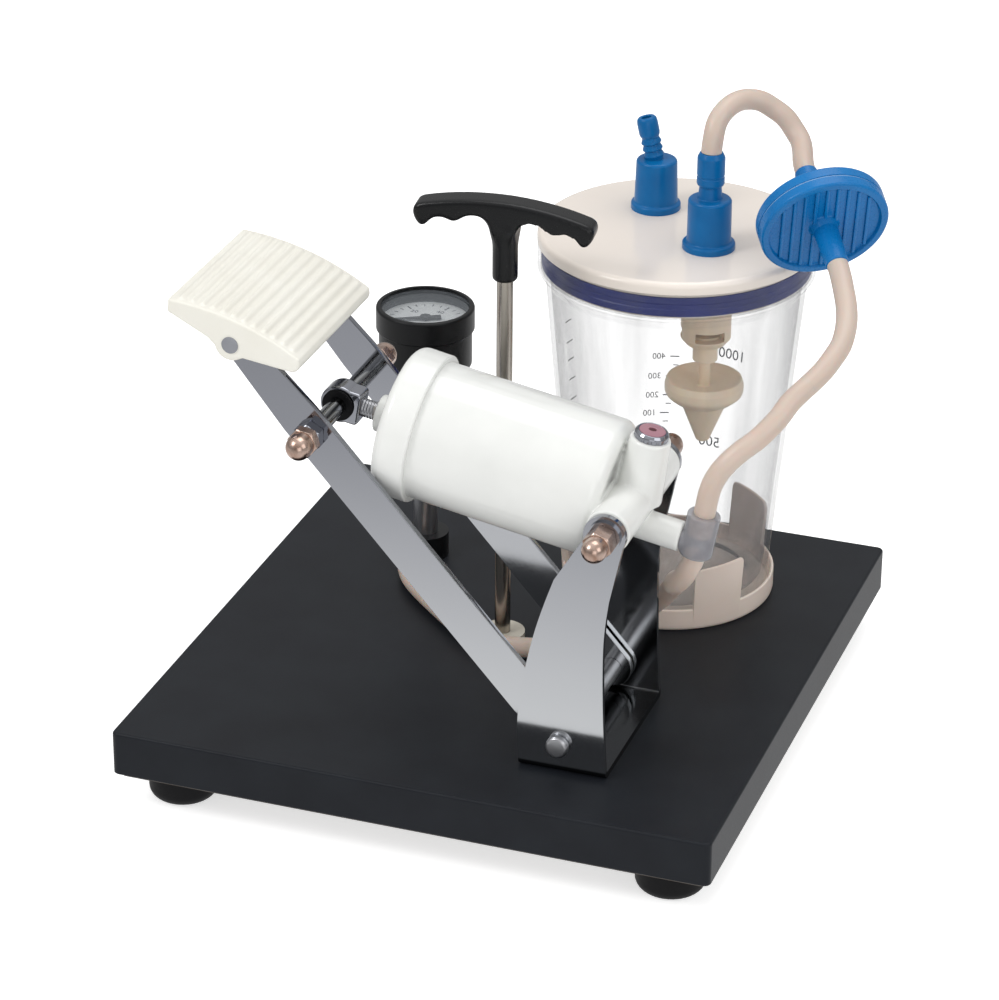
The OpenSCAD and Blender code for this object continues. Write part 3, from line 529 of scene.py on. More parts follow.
def clear(slot, tone, face_on, edge_on, rough, streaks=0.0):
    """Thin clear plastic: nearly see-through face on, and denser where it is seen along its wall."""
    material = finish(slot, tone, tone, (rough, rough + 0.03), relief=0)
    tree = material.node_tree
    facing = step(tree, "LayerWeight", "Facing", {"Blend": 0.12})
    shadow_share = mapped(tree, rays(tree, "Is Shadow Ray"), 0, 1, 1, 0.3)
    cover = combined(tree, "MULTIPLY", mapped(tree, facing, 0, 1, face_on, edge_on), shadow_share)
    upright = noise(tree, object_place(tree, (60, 60, 4)), 1, 3)
    uneven = mapped(tree, upright, 0.3, 0.7, 1 - streaks / 2, 1 + streaks / 2)
    alpha = combined(tree, "MULTIPLY", cover, uneven)
    alpha.node.use_clamp = True
    tree.links.new(alpha, tree.nodes["Principled BSDF"].inputs["Alpha"])


finish("base_paint", (32, 35, 40), (27, 29, 34), (0.34, 0.44), grain=1500, Specular_IOR_Level=0.14)
finish("board", (92, 84, 76), (74, 67, 60), (0.6, 0.8), mottle=60, relief=0.1, stretch=(1, 6, 1))
finish("rubber", (22, 22, 24), (16, 16, 18), (0.5, 0.65), relief=0.08, Specular_IOR_Level=0.15)
finish("steel", (186, 187, 190), (160, 161, 165), (0.25, 0.38), Metallic=1)
finish("rod_steel", (200, 193, 184), (136, 131, 124), (0.16, 0.28), mottle=260, grain=900,
       stretch=(1, 1, 0.04), relief=0.02, Metallic=1)
# Chrome: its base colour is painted reflection, dark at the foot and darker towards the top.
painted_reflection_plate("chrome", (200, 202, 204), (152, 154, 161), 0.07, 0.2)
finish("copper_nuts", (206, 184, 172), (160, 130, 114), (0.2, 0.3), mottle=160, Metallic=1)
finish("nylon", (218, 213, 200), (204, 198, 184), (0.4, 0.5))
finish("grip_black", (16, 17, 19), (12, 13, 15), (0.22, 0.3), relief=0, Specular_IOR_Level=0.3)
finish("gauge_black", (17, 18, 20), (12, 13, 15), (0.3, 0.42), grain=1200, Specular_IOR_Level=0.25)
clear("lens_clear", (150, 156, 162), 0.12, 0.5, 0.03)
finish("dial_white", (226, 228, 228), (214, 217, 218), (0.45, 0.55))
finish("needle_black", (44, 44, 46), (34, 34, 36), (0.4, 0.5))
finish("holder_cream", (232, 218, 207), (226, 210, 198), (0.28, 0.38), relief=0.01, Subsurface_Weight=0.1,
       Subsurface_Scale=0.004)
clear("jar_clear", (122, 123, 126), 0.08, 0.8, 0.06, streaks=0.9)
finish("filter_blue", (8, 116, 184), (4, 104, 172), (0.24, 0.32), relief=0.01, Specular_IOR_Level=0.3)
finish("membrane", (150, 190, 225), (130, 175, 215), (0.7, 0.8), relief=0.2)
finish("hose", (210, 193, 180), (200, 181, 168), (0.3, 0.42), mottle=14, relief=0.01,
       Subsurface_Weight=0.25, Subsurface_Scale=0.004)
finish("lid_cream", (240, 231, 222), (235, 225, 215), (0.12, 0.18), mottle=10, relief=0,
       Specular_IOR_Level=0.6)
finish("gasket_blue", (8, 36, 128), (6, 30, 112), (0.35, 0.45), relief=0.01)
finish("fitting_blue", (4, 104, 166), (2, 94, 154), (0.26, 0.34), mottle=60, relief=0.01,
       Specular_IOR_Level=0.25)
finish("pump_white", (238, 239, 236), (231, 232, 229), (0.08, 0.14), grain=300, relief=0)
finish("brass", (206, 176, 120), (186, 154, 98), (0.2, 0.3), Metallic=1)
finish("tee_clear", (168, 168, 174), (148, 148, 155), (0.16, 0.26), mottle=120, relief=0.01, Alpha=0.6)
finish("pedal_ivory", (240, 238, 229), (234, 231, 220), (0.3, 0.4), relief=0.015)
print_black = finish("print_black", (108, 111, 116), (88, 91, 96), (0.5, 0.6))
cap_mauve = finish("cap_mauve", (176, 132, 142), (160, 112, 124), (0.18, 0.26), relief=0.01)
cap_dark = finish("cap_dark", (84, 24, 34), (66, 16, 26), (0.3, 0.4))
float_beige = finish("float_beige", (248, 231, 208), (240, 220, 194), (0.3, 0.42), mottle=40, relief=0.01,
                     Subsurface_Weight=0.2, Subsurface_Scale=0.004)
pin_grey = finish("pin_grey", (150, 152, 158), (120, 122, 128), (0.4, 0.5))
# Cross rod: the near-white and near-black bands stretched along the rod are painted reflection.
rod_painted_reflection = finish("rod_painted_reflection", (236, 238, 240), (30, 32, 34), (0.1, 0.2), mottle=200,
                    stretch=(1, 0.03, 1), relief=0.01, Metallic=1)
special = {"pedal_pin": pin_grey, "cross_rod": rod_painted_reflection}


for node_name, item in nodes.items():
    item.data.materials.clear()
    item.data.materials.append(special.get(node_name, looks[slot_of[node_name]]))
    for polygon in item.data.polygons:
        polygon.material_index = 0


# Hoses, along the same routes as their solids
HOSE_R = 5.4
JAR_HOSE = [
    (80.4, 70.8, 313.2), (81, 74.4, 319.8), (83.4, 80.4, 324.6), (87, 87, 327), (91.2, 93, 327),
    (97.2, 97.8, 325.2), (103.2, 100.8, 321), (109.8, 100.8, 316.8), (115.2, 99, 311.4),
    (120, 94.8, 307.2), (123, 88.2, 304.2), (125.4, 81, 301.8)]
PUMP_HOSE = [
    (163.2, 21, 267), (166.8, 13.8, 262.8), (169.8, 7.2, 259.2), (172.2, 0, 255), (173.4, -7.2, 250.8),
    (173.4, -15, 246.6), (171.6, -22.8, 243), (169.2, -30, 239.4), (165.6, -37.2, 235.8),
    (162, -44.4, 232.8), (158.4, -51, 229.2), (155.4, -58.2, 224.4), (151.8, -64.2, 220.2),
    (147, -69.6, 215.4), (141, -73.8, 210.6), (135.6, -77.4, 205.2), (130.8, -79.2, 198),
    (127.8, -80.4, 190.2)]
GAUGE_HOSE = [
    (117.6, -79.2, 144), (112.8, -75, 135.6), (108, -69, 129.6), (105, -60.6, 124.8),
    (103.2, -51, 121.2), (101.4, -42, 117), (99, -33.6, 111.6), (95.4, -26.4, 105.6),
    (90.6, -20.4, 98.4), (85.8, -15.6, 91.2), (79.8, -11.4, 84), (73.8, -8.4, 76.2), (67.8, -6, 69),
    (60.6, -4.8, 61.8), (52.2, -6, 55.8), (43.2, -9, 52.2), (34.2, -13.2, 51), (24.6, -17.4, 50.4),
    (15, -20.4, 50.4), (4.8, -22.2, 50.4), (-5.4, -21.6, 50.4), (-15, -18.2, 50.4),
    (-24, -12.6, 50.4), (-32.4, -6, 50.4), (-40.2, 1, 50.4), (-48, 8.2, 50.4),
    (-55.6, 15.4, 50.4), (-62.8, 22.6, 50.4), (-69.4, 30, 50.4), (-74.6, 37.6, 50.4),
    (-78, 45, 50.4)]
NOZZLE_IN = (38.04, 111.96)
NOZZLE_OUT = (80.04, 69.36)
CONNECTOR_TOP = 305.28
GAUGE_BARB = (-79.2, 51.6, 50.4)
STUB_IN = 32.64
STUB_OUT = 30.24
TEE_X = 36.6
TEE_LOW = -19.6
TUBE_Z = -12.8
TEE_HIGH = 3.4


def smooth_route(points, start_dir, end_dir, per=4):
    """One smooth curve through a route's points, leaving and arriving in given directions."""
    points = [Vector(point) for point in points]
    last = len(points) - 1
    headings = []
    for index in range(last + 1):
        if index == 0:
            headings.append(Vector(start_dir).normalized())
        elif index == last:
            headings.append(Vector(end_dir).normalized())
        else:
            headings.append((points[index + 1] - points[index - 1]).normalized())
    curve = []
    for index in range(last):
        first, second = points[index], points[index + 1]
        chord = (second - first).length
        out, arrive = headings[index] * chord, headings[index + 1] * chord
        for step in range(per):
            t = step / per
            curve.append(
                first * (2 * t ** 3 - 3 * t ** 2 + 1) + out * (t ** 3 - 2 * t ** 2 + t)
                + second * (3 * t ** 2 - 2 * t ** 3) + arrive * (t ** 3 - t ** 2))
    curve.append(points[last])
    return curve


def route_length(path):
    return sum((b - a).length for a, b in zip(path, path[1:]))


def add_tube(bm, path, radius, sides=24):
    """Round tube along a path, its sides carried along without twist."""
    count = len(path)
    side = None
    loops = []
    for index, point in enumerate(path):
        ahead = path[min(index + 1, count - 1)] - path[max(index - 1, 0)]
        ahead.normalize()
        if side is None:
            side = ahead.orthogonal()
        side = (side - ahead * side.dot(ahead)).normalized()
        across = ahead.cross(side)
        turns = [math.tau * index / sides for index in range(sides)]
        loops.append([point + radius * (math.cos(a) * side + math.sin(a) * across) for a in turns])
    loft(bm, loops)


def add_hose(name, path, body, node, **facts):
    """A hose on one body, or, where body is a tuple (first, second, start, end) for a hose between two
    bodies, a hose on no body.
    """
    bm = bmesh.new()
    add_tube(bm, path, HOSE_R)
    bends = not isinstance(body, str)
    hose = piece(name, bm, None if bends else body, "hose", node, even=False)
    if bends:
        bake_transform(hose)
    points = [point * MM for point in path]
    tuple(points[0])
    route_length(points)
    [tuple(point) for point in points]


tee_top = PUMP @ Vector((TEE_X, 0, TEE_HIGH))
tee_foot = PUMP @ Vector((TEE_X, 0, TEE_LOW))
jar_path = smooth_route(
    [(*NOZZLE_OUT, CONNECTOR_TOP), *JAR_HOSE, FILTER_AT - FILTER_DIR * STUB_IN], (0, 0, 1), FILTER_DIR)
pump_path = smooth_route([FILTER_AT + FILTER_DIR * STUB_OUT, *PUMP_HOSE, tee_top], FILTER_DIR, -PUMP_UP)
gauge_path = smooth_route([tee_foot, *GAUGE_HOSE, GAUGE_BARB], -PUMP_UP, (0, 1, 0))


# Filter: two moulded halves with ribbed faces
def filter_half(name, place, stub_len, node):
    radius, half_t = 33.3, 6.18
    stub_r, bore_r = 5.88, 3.12
    face_z = half_t - 1.92
    field = radius - 4.8
    bm = bmesh.new()
    add_lathe(bm, rounded([
        (bore_r, 0.4, 0), (bore_r, stub_len, 0.3), (stub_r, stub_len, 0.8),
        (stub_r + 0.48, half_t + 2, 1.5), (stub_r + 1.9, face_z, 1.2), (field, face_z, 0.6),
        (field + 0.8, half_t, 0.5), (radius, half_t, 1.4), (radius, 0.36, 0.3), (radius - 3, 0.36, 0)]),
        place, 128)
    rib_step, rib_w, rib_turn = 5.52, 1.9, 6
    for index in range(-4, 5):
        across = index * rib_step
        reach = math.sqrt(field ** 2 - across ** 2)
        runs = [(-reach, reach)]
        if abs(across) < stub_r:
            gap = math.sqrt((stub_r + 0.6) ** 2 - across ** 2)
            runs = [(-reach, -gap), (gap, reach)]
        for start, end in runs:
            outline = [(start, across - rib_w / 2), (end, across - rib_w / 2),
                       (end, across + rib_w / 2), (start, across + rib_w / 2)]
            add_slab(bm, outline, face_z - 0.5, face_z + 1.3, 0.6, place @ turned(rib_turn, "Z"), 2)
    return piece(name, bm, "lid_group", "filter_blue", node)


inlet_half = filter_half("filter_inlet_half_shell", FILTER @ turned(180, "X"), STUB_IN, "filter_inlet_half")
outlet_half = filter_half("filter_outlet_half_shell", FILTER, STUB_OUT, "filter_outlet_half")

add_hose("jar_hose_tube", jar_path, "lid_group", "hose_jar", far_end="fitting", lay="loose",
         with_pieces=[inlet_half, outlet_half, nodes["filter_membrane"]])
split = len(pump_path) // 2
add_hose("pump_hose_upper", pump_path[:split + 1], ("lid_group", "base", pump_path[0], pump_path[split]),
         "hose_pump", far_end="object", lay="hanging")
add_hose("pump_hose_lower", pump_path[split:], ("base", "pump", pump_path[split], pump_path[-3]),
         "hose_pump", far_end="object", lay="hanging")
add_hose("gauge_hose_tube", gauge_path, ("base", "pump", Vector(GAUGE_HOSE[6]), gauge_path[1]),
         "hose_gauge", far_end="object", lay="loose")


# Base
def add_base_pan():
    low, high = box_mm("base_pan")
    wall, sheet, corner_r, edge = 2.4, 1.8, 3.6, 1.5
    outline = rounded([
        (low.x, low.y, corner_r), (high.x, low.y, corner_r),
        (high.x, high.y, corner_r), (low.x, high.y, corner_r)], 6)
    inner = inset(outline, wall)
    loops = [at_height(inner, high.z - sheet), at_height(inner, low.z),
             at_height(inset(outline, 0.4), low.z), at_height(outline, low.z + 0.4)]
    loops += rim_loops(outline, high.z - edge, 1, edge, 5)
    bm = bmesh.new()
    loft(bm, loops)
    piece("base_pan_sheet", bm, "base", "base_paint", "base_pan")


def add_bracket():
    """Polished strip bent into a U and cut to a leaning outline."""
    low, high = box_mm("bracket")
    sheet = 3
    y0, y1, z0 = low.y, high.y, low.z
    top = high.z + 20
    section = rounded([
        (y0, top, 0), (y0, z0, 3), (y1, z0, 3), (y1, top, 0), (y1 - sheet, top, 0),
        (y1 - sheet, z0 + sheet, 1), (y0 + sheet, z0 + sheet, 1), (y0 + sheet, top, 0)], 6)
    strip = bmesh.new()
    loft(strip, [[(x, y, z) for y, z in section] for x in (low.x - 5, high.x + 5)])
    axle = (PUMP_AT.x, PUMP_AT.z)
    right = [(92.16, z0 - 1), (90.6, 66), (89.5, 92), (89.2, 117.72), (90.2, 132), (91.8, 144)]
    left = [(63.36, 151.8), (58.6, 138), (54.4, 124), (51.1, 110.5), (48.6, 97.5), (46.5, 84),
            (45.1, 70), (45.2, 57), (46.2, z0 - 1)]
    outline = eased(right) + arc(axle, 10.8, -30, 195, 20) + eased(left)
    cutter = bmesh.new()
    loft(cutter, [[(x, y, z) for x, z in outline] for y in (y0 - 5, y1 + 5)])
    bm = bevelled(carve(strip, cutter, "INTERSECT"), 0.4)
    piece("bracket_strip", bm, "base", "chrome", "bracket")


def add_lever_axle():
    near = box_mm("bracket")[0].y
    far = box_mm("lever_axle")[1].y
    bm = bmesh.new()
    add_bar(bm, 5.88, -4.8, 0, 1.6, along_y(HINGE_AT.x, HINGE_AT.z, near))
    add_bar(bm, 4.2, -1, far - near, 0.6, along_y(HINGE_AT.x, HINGE_AT.z, near))
    piece("lever_axle_bolt", bm, "base", "chrome", "lever_axle", look=looks["steel"])


def add_dome_nuts():
    washer = 1.8
    bracket_low, bracket_high = box_mm("bracket")
    cross = middle("cross_rod")
    nut_low, nut_high = box_mm("cross_nuts")
    pump_pair = ("pump_dome_nut", "base", PUMP_AT, bracket_low.y - washer, bracket_high.y + washer,
                 (13.2, 10.8, 20.4), 12)
    cross_pair = ("cross_dome_nut", "lever", cross, nut_low.y, nut_high.y, (13.8, 6, 16.2), 20)
    for name, body, at, near_y, far_y, sizes, turn in (pump_pair, cross_pair):
        bm = bmesh.new()
        for y, facing in ((near_y, 90), (far_y, -90)):
            add_dome_nut(bm, *sizes, moved(at.x, y, at.z) @ turned(facing, "X") @ turned(turn, "Z"))
        piece(name + "_pair", bm, body, "copper_nuts", name + "s")
    bm = bmesh.new()
    thick = 6.6
    for y in (nut_low.y, nut_high.y - thick):
        add_hexagon(bm, 13.2, thick, along_y(cross.x, cross.z, y))
    piece("cross_nut_pair", bm, "lever", "chrome", "cross_nuts")


def add_lever_bars():
    low, high = box_mm("lever_bars")
    thick, half, end_r, cross_reach = 3.6, 10.8, 7.8, 207.6
    outline = (arc((0, 0), half, 90, 270, 20) + [(cross_reach, -half)]
               + arc((PIN_REACH, 0), end_r, -90, 90, 14) + [(cross_reach, half)])
    bm = bmesh.new()
    for y in (low.y, high.y - thick):
        add_upright(bm, outline, y - HINGE_AT.y, y + thick - HINGE_AT.y, 0.5, LEVER, 2)
    piece("lever_bar_pair", bm, "lever", "chrome", "lever_bars")


# Pump
BARREL_R = 35.4
BARREL_END = 120
CAP_R = 38.64
WALL_END = 126
GLAND_T = 136.2
TOWER = PUMP @ moved(2.16, 0, 0)
TUBE = PUMP @ moved(0, 0, TUBE_Z) @ turned(-90, "Y")
TUBE_END = 28.2
SEAT_T = 19.2


def add_pump_barrel():
    bore_r = 32.4
    profile = rounded([
        (bore_r, SEAT_T, 0), (BARREL_R, SEAT_T, 0), (BARREL_R, BARREL_END, 0), (bore_r, BARREL_END, 0)])
    turned_piece("pump_barrel_tube", profile, PUMP_AXIS, 160, "pump", "pump_white", "pump_barrel")


def add_pump_cap():
    inner = BARREL_R + 0.06
    profile = rounded([
        (inner, 108, 0), (CAP_R - 0.2, 108, 0.9), (CAP_R, WALL_END, 5.5), (9.8, WALL_END, 1.4),
        (9.5, GLAND_T, 1.2), (7.2, GLAND_T, 0.2), (7.2, BARREL_END, 0), (inner, BARREL_END, 0)], 7)
    turned_piece("pump_cap_ring", profile, PUMP_AXIS, 160, "pump", "pump_white", "pump_cap")


def add_pump_head():
    bm = bmesh.new()
    boss_len = 84
    add_bar(bm, 11.4, -boss_len / 2, boss_len / 2, 0.8, PUMP @ turned(-90, "X"), 96)
    plate = rounded([(0, 9.6, 0), (BARREL_R, 9.6, 6), (BARREL_R, SEAT_T, 0), (0, SEAT_T, 0)], 8)
    add_lathe(bm, plate, PUMP_AXIS, 128)
    add_bar(bm, 7.8, -TUBE_END, 14, 0.6, TUBE, 64)
    tower = rounded([(0, 0, 0), (12.2, 0, 0), (10.2, 34.8, 1.2), (0, 34.8, 0)])
    add_lathe(bm, tower, TOWER, 96)
    bm = fuse(bm, 0.6, 9, 0.6)
    add_lathe(bm, plate, PUMP_AXIS, 160)
    piece("pump_head_casting", bm, "pump", "pump_white", "pump_head", even=False, sharp=60)


def add_exhaust_cap():
    place = TOWER
    bm = bmesh.new()
    profile = rounded([
        (0, 30, 0), (6.4, 30, 0), (6.4, 34.8, 0), (8.64, 34.8, 0.4), (8.64, 37.4, 1.2), (7.2, 39.2, 0.5),
        (6.7, 38.5, 0.1), (0, 38.5, 0)], 5)
    add_lathe(bm, profile, place, 96)
    notches = bmesh.new()
    for index in range(14):
        angle = 360 * index / 14
        add_bar(notches, 0.8, 34, 36.8, 0.2, place @ turned(angle, "Z") @ moved(8.9, 0, 0), 16)
    piece("exhaust_cap_shell", carve(bm, notches, "DIFFERENCE"), "pump", "chrome", "exhaust_cap")
    disc = rounded([(1.9, 38.4, 0), (6.6, 38.4, 0), (6.6, 38.9, 0.3), (1.9, 39.4, 0.3)], 3)
    turned_piece("exhaust_cap_disc", disc, place, 64, "pump", "rubber", look=cap_mauve)
    bm = bmesh.new()
    add_bar(bm, 1.85, 37.5, 38.9, 0.3, place, 32)
    piece("exhaust_cap_centre", bm, "pump", "rubber", look=cap_dark)


def add_tee():
    arm_r = 8.4
    bm = bmesh.new()
    add_bar(bm, arm_r, TEE_LOW, TEE_HIGH, 0.9, PUMP @ moved(TEE_X, 0, 0), 64)
    add_bar(bm, 6.6, -6, 1, 0.5, PUMP @ moved(TUBE_END + 1, 0, TUBE_Z) @ turned(-90, "Y"), 64)
    piece("tee_moulding", fuse(bm, 0.45, 6, 0.6), "pump", "tee_clear", "tee", even=False, sharp=80)
    bm = bmesh.new()
    add_bar(bm, 6.2, TEE_HIGH - 12, TEE_HIGH - 0.2, 0.8, PUMP @ moved(TEE_X, 0, 0), 48)
    piece("tee_hose_end", bm, "pump", "hose")


def add_rod():
    """Piston rod with a thread at its end, for the rod end."""
    radius, depth, pitch = 4.8, 0.35, 1.5
    start, end = 32.4, 150
    smooth_end = 131
    segments = 48
    loops = []
    levels = [start, smooth_end - 0.5]
    count = int((end - smooth_end) / pitch * 8)
    levels += [smooth_end + (end - smooth_end) * index / count for index in range(count + 1)]
    for t in levels:
        loop = []
        for index in range(segments):
            angle = math.tau * index / segments
            phase = (t - smooth_end) / pitch - index / segments
            cut = depth * (1 - abs(2 * (phase % 1) - 1)) if t >= smooth_end else 0
            loop.append(((radius - cut) * math.cos(angle), (radius - cut) * math.sin(angle), t))
        loops.append(loop)
    bm = bmesh.new()
    loft(bm, loops, PUMP_AXIS)
    piece("piston_rod_threaded", bm, "rod", "rod_steel", "piston_rod", look=looks["steel"], even=False)


def add_return_spring():
    """Coil between the piston and the bush, at one length; the real spring shortens as the piston comes
    forward.
    """
    turns, per_turn, coil_r, wire_r = 8, 20, 13.2, 1.32
    low, high = 44.64, 113.76
    path = []
    for step in range(turns * per_turn + 1):
        angle = math.tau * step / per_turn
        height = low + (high - low) * step / (turns * per_turn)
        path.append(PUMP_AXIS @ Vector((coil_r * math.cos(angle), coil_r * math.sin(angle), height)))
    bm = bmesh.new()
    add_tube(bm, path, wire_r, 10)
    spring = piece("return_spring_coil", bm, "pump", slot_of["return_spring"], "return_spring", even=False)
    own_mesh(spring)


def add_rod_end():
    eye_t = -(PUMP.inverted() @ middle("cross_rod")).x
    block = 144.6
    half_y = 6
    outline = arc((-eye_t, 0), 9.9, 62.7, 297.3, 28) + rounded([
        (-eye_t + 4.54, -8.8, 0), (-block, -8.8, 2.4), (-block, 8.8, 2.4),
        (-eye_t + 4.54, 8.8, 0)], 4, False)
    bm = bmesh.new()
    add_upright(bm, outline, -half_y, half_y, 1.4, PUMP, 4)
    hole = bmesh.new()
    eye_r, eye_drop, lip = 6.24, 1.176, 0.8
    profile = [(0, -12), (eye_r + 7.4, -12), (eye_r + lip, -half_y), (eye_r, -half_y + lip),
               (eye_r, half_y - lip), (eye_r + lip, half_y), (eye_r + 7.4, 12), (0, 12)]
    add_lathe(hole, profile, PUMP @ moved(-eye_t, 0, -eye_drop) @ turned(90, "X"), 64)
    piece("rod_end_eye", carve(bm, hole, "DIFFERENCE"), "rod", "chrome", "rod_end", sharp=30)
    cross = middle("cross_rod")
    bm = bmesh.new()
    for y in (MID_Y - half_y - 1.3, MID_Y + half_y + 0.3):
        add_bar(bm, 8.3, 0, 1, 0.35, along_y(cross.x, cross.z, y), 64)
    piece("rod_end_washer_pair", bm, "lever", "rubber")


# Handle and pedal
def add_grip():
    """T-grip with soft edges: an arch over two finger hollows on each side, and its sleeve."""
    rod = middle("handle_rod")
    top = 294.36
    under = [
        (45.6, 7.3), (46.8, 9.2), (46.9, 12), (46, 14.6), (44.4, 17), (42.8, 18.3), (41.2, 18.5),
        (39.8, 17.6), (38.4, 15.8), (36.6, 13.9), (34.2, 12.8), (31.4, 12.6), (29, 13.2), (27, 14),
        (25, 14), (23, 13), (20.8, 11.2), (18.4, 10), (15.6, 9.4), (12.8, 9.5), (10.4, 10.5), (8.6, 12.4),
        (7.2, 15), (6.4, 18)]
    under = eased([(x, top - drop) for x, drop in under], 2)
    outline = arc((0, top - 158), 158, 74, 106, 24)
    outline += [(-x, z) for x, z in under] + under[::-1]
    place = (moved(rod.x, rod.y) @ turned(7.4, "Z") @ moved(0, 0, top - 10)
             @ turned(3.3, "Y") @ moved(0, 0, 10 - top) @ turned(90, "X"))
    bm = bmesh.new()
    add_slab(bm, outline, -7.5, 7.5, 2.2, place, 4)
    neck = []
    for part in range(13):
        ease = 0.5 - 0.5 * math.cos(math.pi * part / 12)
        half_x, half_y, corner = 6.9 - 0.3 * ease, 7.4 - 0.8 * ease, 2.4 + 4 * ease
        corners = [(half_x, -half_y, corner), (half_x, half_y, corner), (-half_x, half_y, corner),
                   (-half_x, -half_y, corner)]
        neck.append(at_height(rounded(corners, 8), top - 14 - part))
    loft(bm, neck, moved(rod.x, rod.y))
    sleeve = rounded([
        (0, top - 44.16, 0), (6.6, top - 44.16, 1), (6.6, top - 11.8, 0), (0, top - 11.8, 0)])
    add_lathe(bm, sleeve, moved(rod.x, rod.y), 64)
    piece("handle_grip_moulding", fuse(bm, 0.6, 22, 0.5), "base", "grip_black", "handle_grip",
          even=False, sharp=80)


TREAD_R = 140.4
TREAD_CENTRE = (-39.96, -120.72)
TREAD_FROM = 87
TREAD_TO = 57.2
PEDAL_HALF_W = 48


def add_pedal():
    outline = [(-33.36, 12.84)] + arc(TREAD_CENTRE, TREAD_R, TREAD_FROM, TREAD_TO, 24)
    outline += arc((31.92, -5.52), 4.44, 0, -100, 8) + [(6.24, -6.48)]
    outline += arc((0, 0), 8.64, -60, -170, 10) + [(-12, 1.92)]
    outline.reverse()
    bm = bmesh.new()
    add_upright(bm, outline, -PEDAL_HALF_W, PEDAL_HALF_W, 1.0, PEDAL, 3)
    wall = 3.6
    hollow_top = arc(TREAD_CENTRE, TREAD_R - wall, TREAD_FROM - 1.5, 62.5, 12)
    hollow = [(hollow_top[0][0], -24)] + hollow_top + [(hollow_top[-1][0], -24)]
    hollow.reverse()
    cutter = bmesh.new()
    add_upright(cutter, hollow, -PEDAL_HALF_W + wall, PEDAL_HALF_W - wall, 0.2, PEDAL, 1)
    bm = carve(bm, cutter, "DIFFERENCE")
    ridges, ridge_r = 12, 2.1
    for x, z in arc(TREAD_CENTRE, TREAD_R - 1.05, TREAD_FROM, TREAD_TO, ridges + 1)[1:-1]:
        half = PEDAL_HALF_W - 2.4
        place = PEDAL @ moved(x, 0, z) @ turned(90, "X")
        profile = arc((0, half - ridge_r), ridge_r, 90, 0, 5)
        profile += arc((0, -half + ridge_r), ridge_r, 0, -90, 5)
        profile[0], profile[-1] = (0, half), (0, -half)
        add_lathe(bm, profile, place, 16)
    piece("pedal_moulding", fuse(bm, 0.55, 3, 0.6), "pedal_group", "pedal_ivory", "pedal",
          even=False, sharp=80)


# Jar, lid and fittings
FOOT_Z = 47.52
RIM_Z = 246
LID_UNDER = 246.12
LID_TOP = 252.72


def jar_radius(z):
    """Outer radius of the jar's wall at a height."""
    return 53.4 + (z - 51.12) * (68.8 - 53.4) / (225.6 - 51.12)


def add_jar():
    wall, ledge, collar_r = 2.4, 231.84, 73.2
    bm = bmesh.new()
    add_lathe(bm, rounded([
        (0, FOOT_Z + 4.8, 0), (42.7, FOOT_Z + 4.8, 1.2), (44.8, FOOT_Z, 1), (53.2, FOOT_Z, 3.4),
        (68.8, 225.6, 4), (71.4, 230.2, 2), (collar_r, ledge - 0.3, 1.2), (collar_r, RIM_Z, 0.5),
        (collar_r - 1.8, RIM_Z, 0.4), (collar_r - 1.8, ledge, 0.3), (66.5, ledge, 1), (66.4, 226, 3),
        (51, FOOT_Z + 7.2, 5), (0, FOOT_Z + 7.2, 0)], 5), JAR, 160)
    piece("jar_wall", bm, "base", "jar_clear", "jar")


def on_jar(azimuth, z, lift=0.12):
    """Bends flat artwork, read from outside, on to the jar's wall."""
    def bend(point):
        height = z + point.y
        reach = jar_radius(height) + lift + point.z
        angle = math.radians(azimuth) + point.x / jar_radius(z)
        return JAR @ Vector((reach * math.cos(angle), reach * math.sin(angle), height))
    return bend


def add_words(bm, words, size, bend):
    curve = bpy.data.curves.new("words", "FONT")
    curve.body = words
    curve.size = size
    curve.align_x = "CENTER"
    curve.align_y = "CENTER"
    curve.extrude = 0.03
    curve.resolution_u = 3
    holder = bpy.data.objects.new("words", curve)
    bpy.context.scene.collection.objects.link(holder)
    depsgraph = bpy.context.evaluated_depsgraph_get()
    start = len(bm.verts)
    bm.from_mesh(holder.evaluated_get(depsgraph).to_mesh())
    bpy.data.objects.remove(holder)
    bpy.data.curves.remove(curve)
    bm.verts.ensure_lookup_table()
    for vert in bm.verts[start:]:
        vert.co = bend(vert.co)


def add_mark(bm, width, height, bend):
    """Small printed bar."""
    half_w, half_h, half_t = width / 2, height / 2, 0.03
    corners = ((-half_w, -half_h), (half_w, -half_h), (half_w, half_h), (-half_w, half_h))
    loops = [[bend(Vector((x, y, z))) for x, y in corners] for z in (-half_t, half_t)]
    loft(bm, loops)


def add_graduations():
    bm = bmesh.new()
    add_words(bm, "1000", 8.4, on_jar(76.2, 156.5))
    add_words(bm, "500", 8.4, on_jar(85.6, 103.7))
    for index, (azimuth, z) in enumerate(((114.1, 151.2), (116.2, 139.8), (117.4, 128.8), (118.8, 118.4))):
        add_words(bm, str(400 - 100 * index), 4.9, on_jar(azimuth, z))
        add_mark(bm, 5, 0.6, on_jar(azimuth - 8, z))
        add_mark(bm, 3, 0.5, on_jar(azimuth - 8.6, z - 5))
    for z in (184.6, 172.8, 162.6, 151.3, 139.9):
        add_mark(bm, 6, 0.6, on_jar(168, z))
    piece("jar_graduations", bm, "base", "needle_black", look=print_black, even=False)


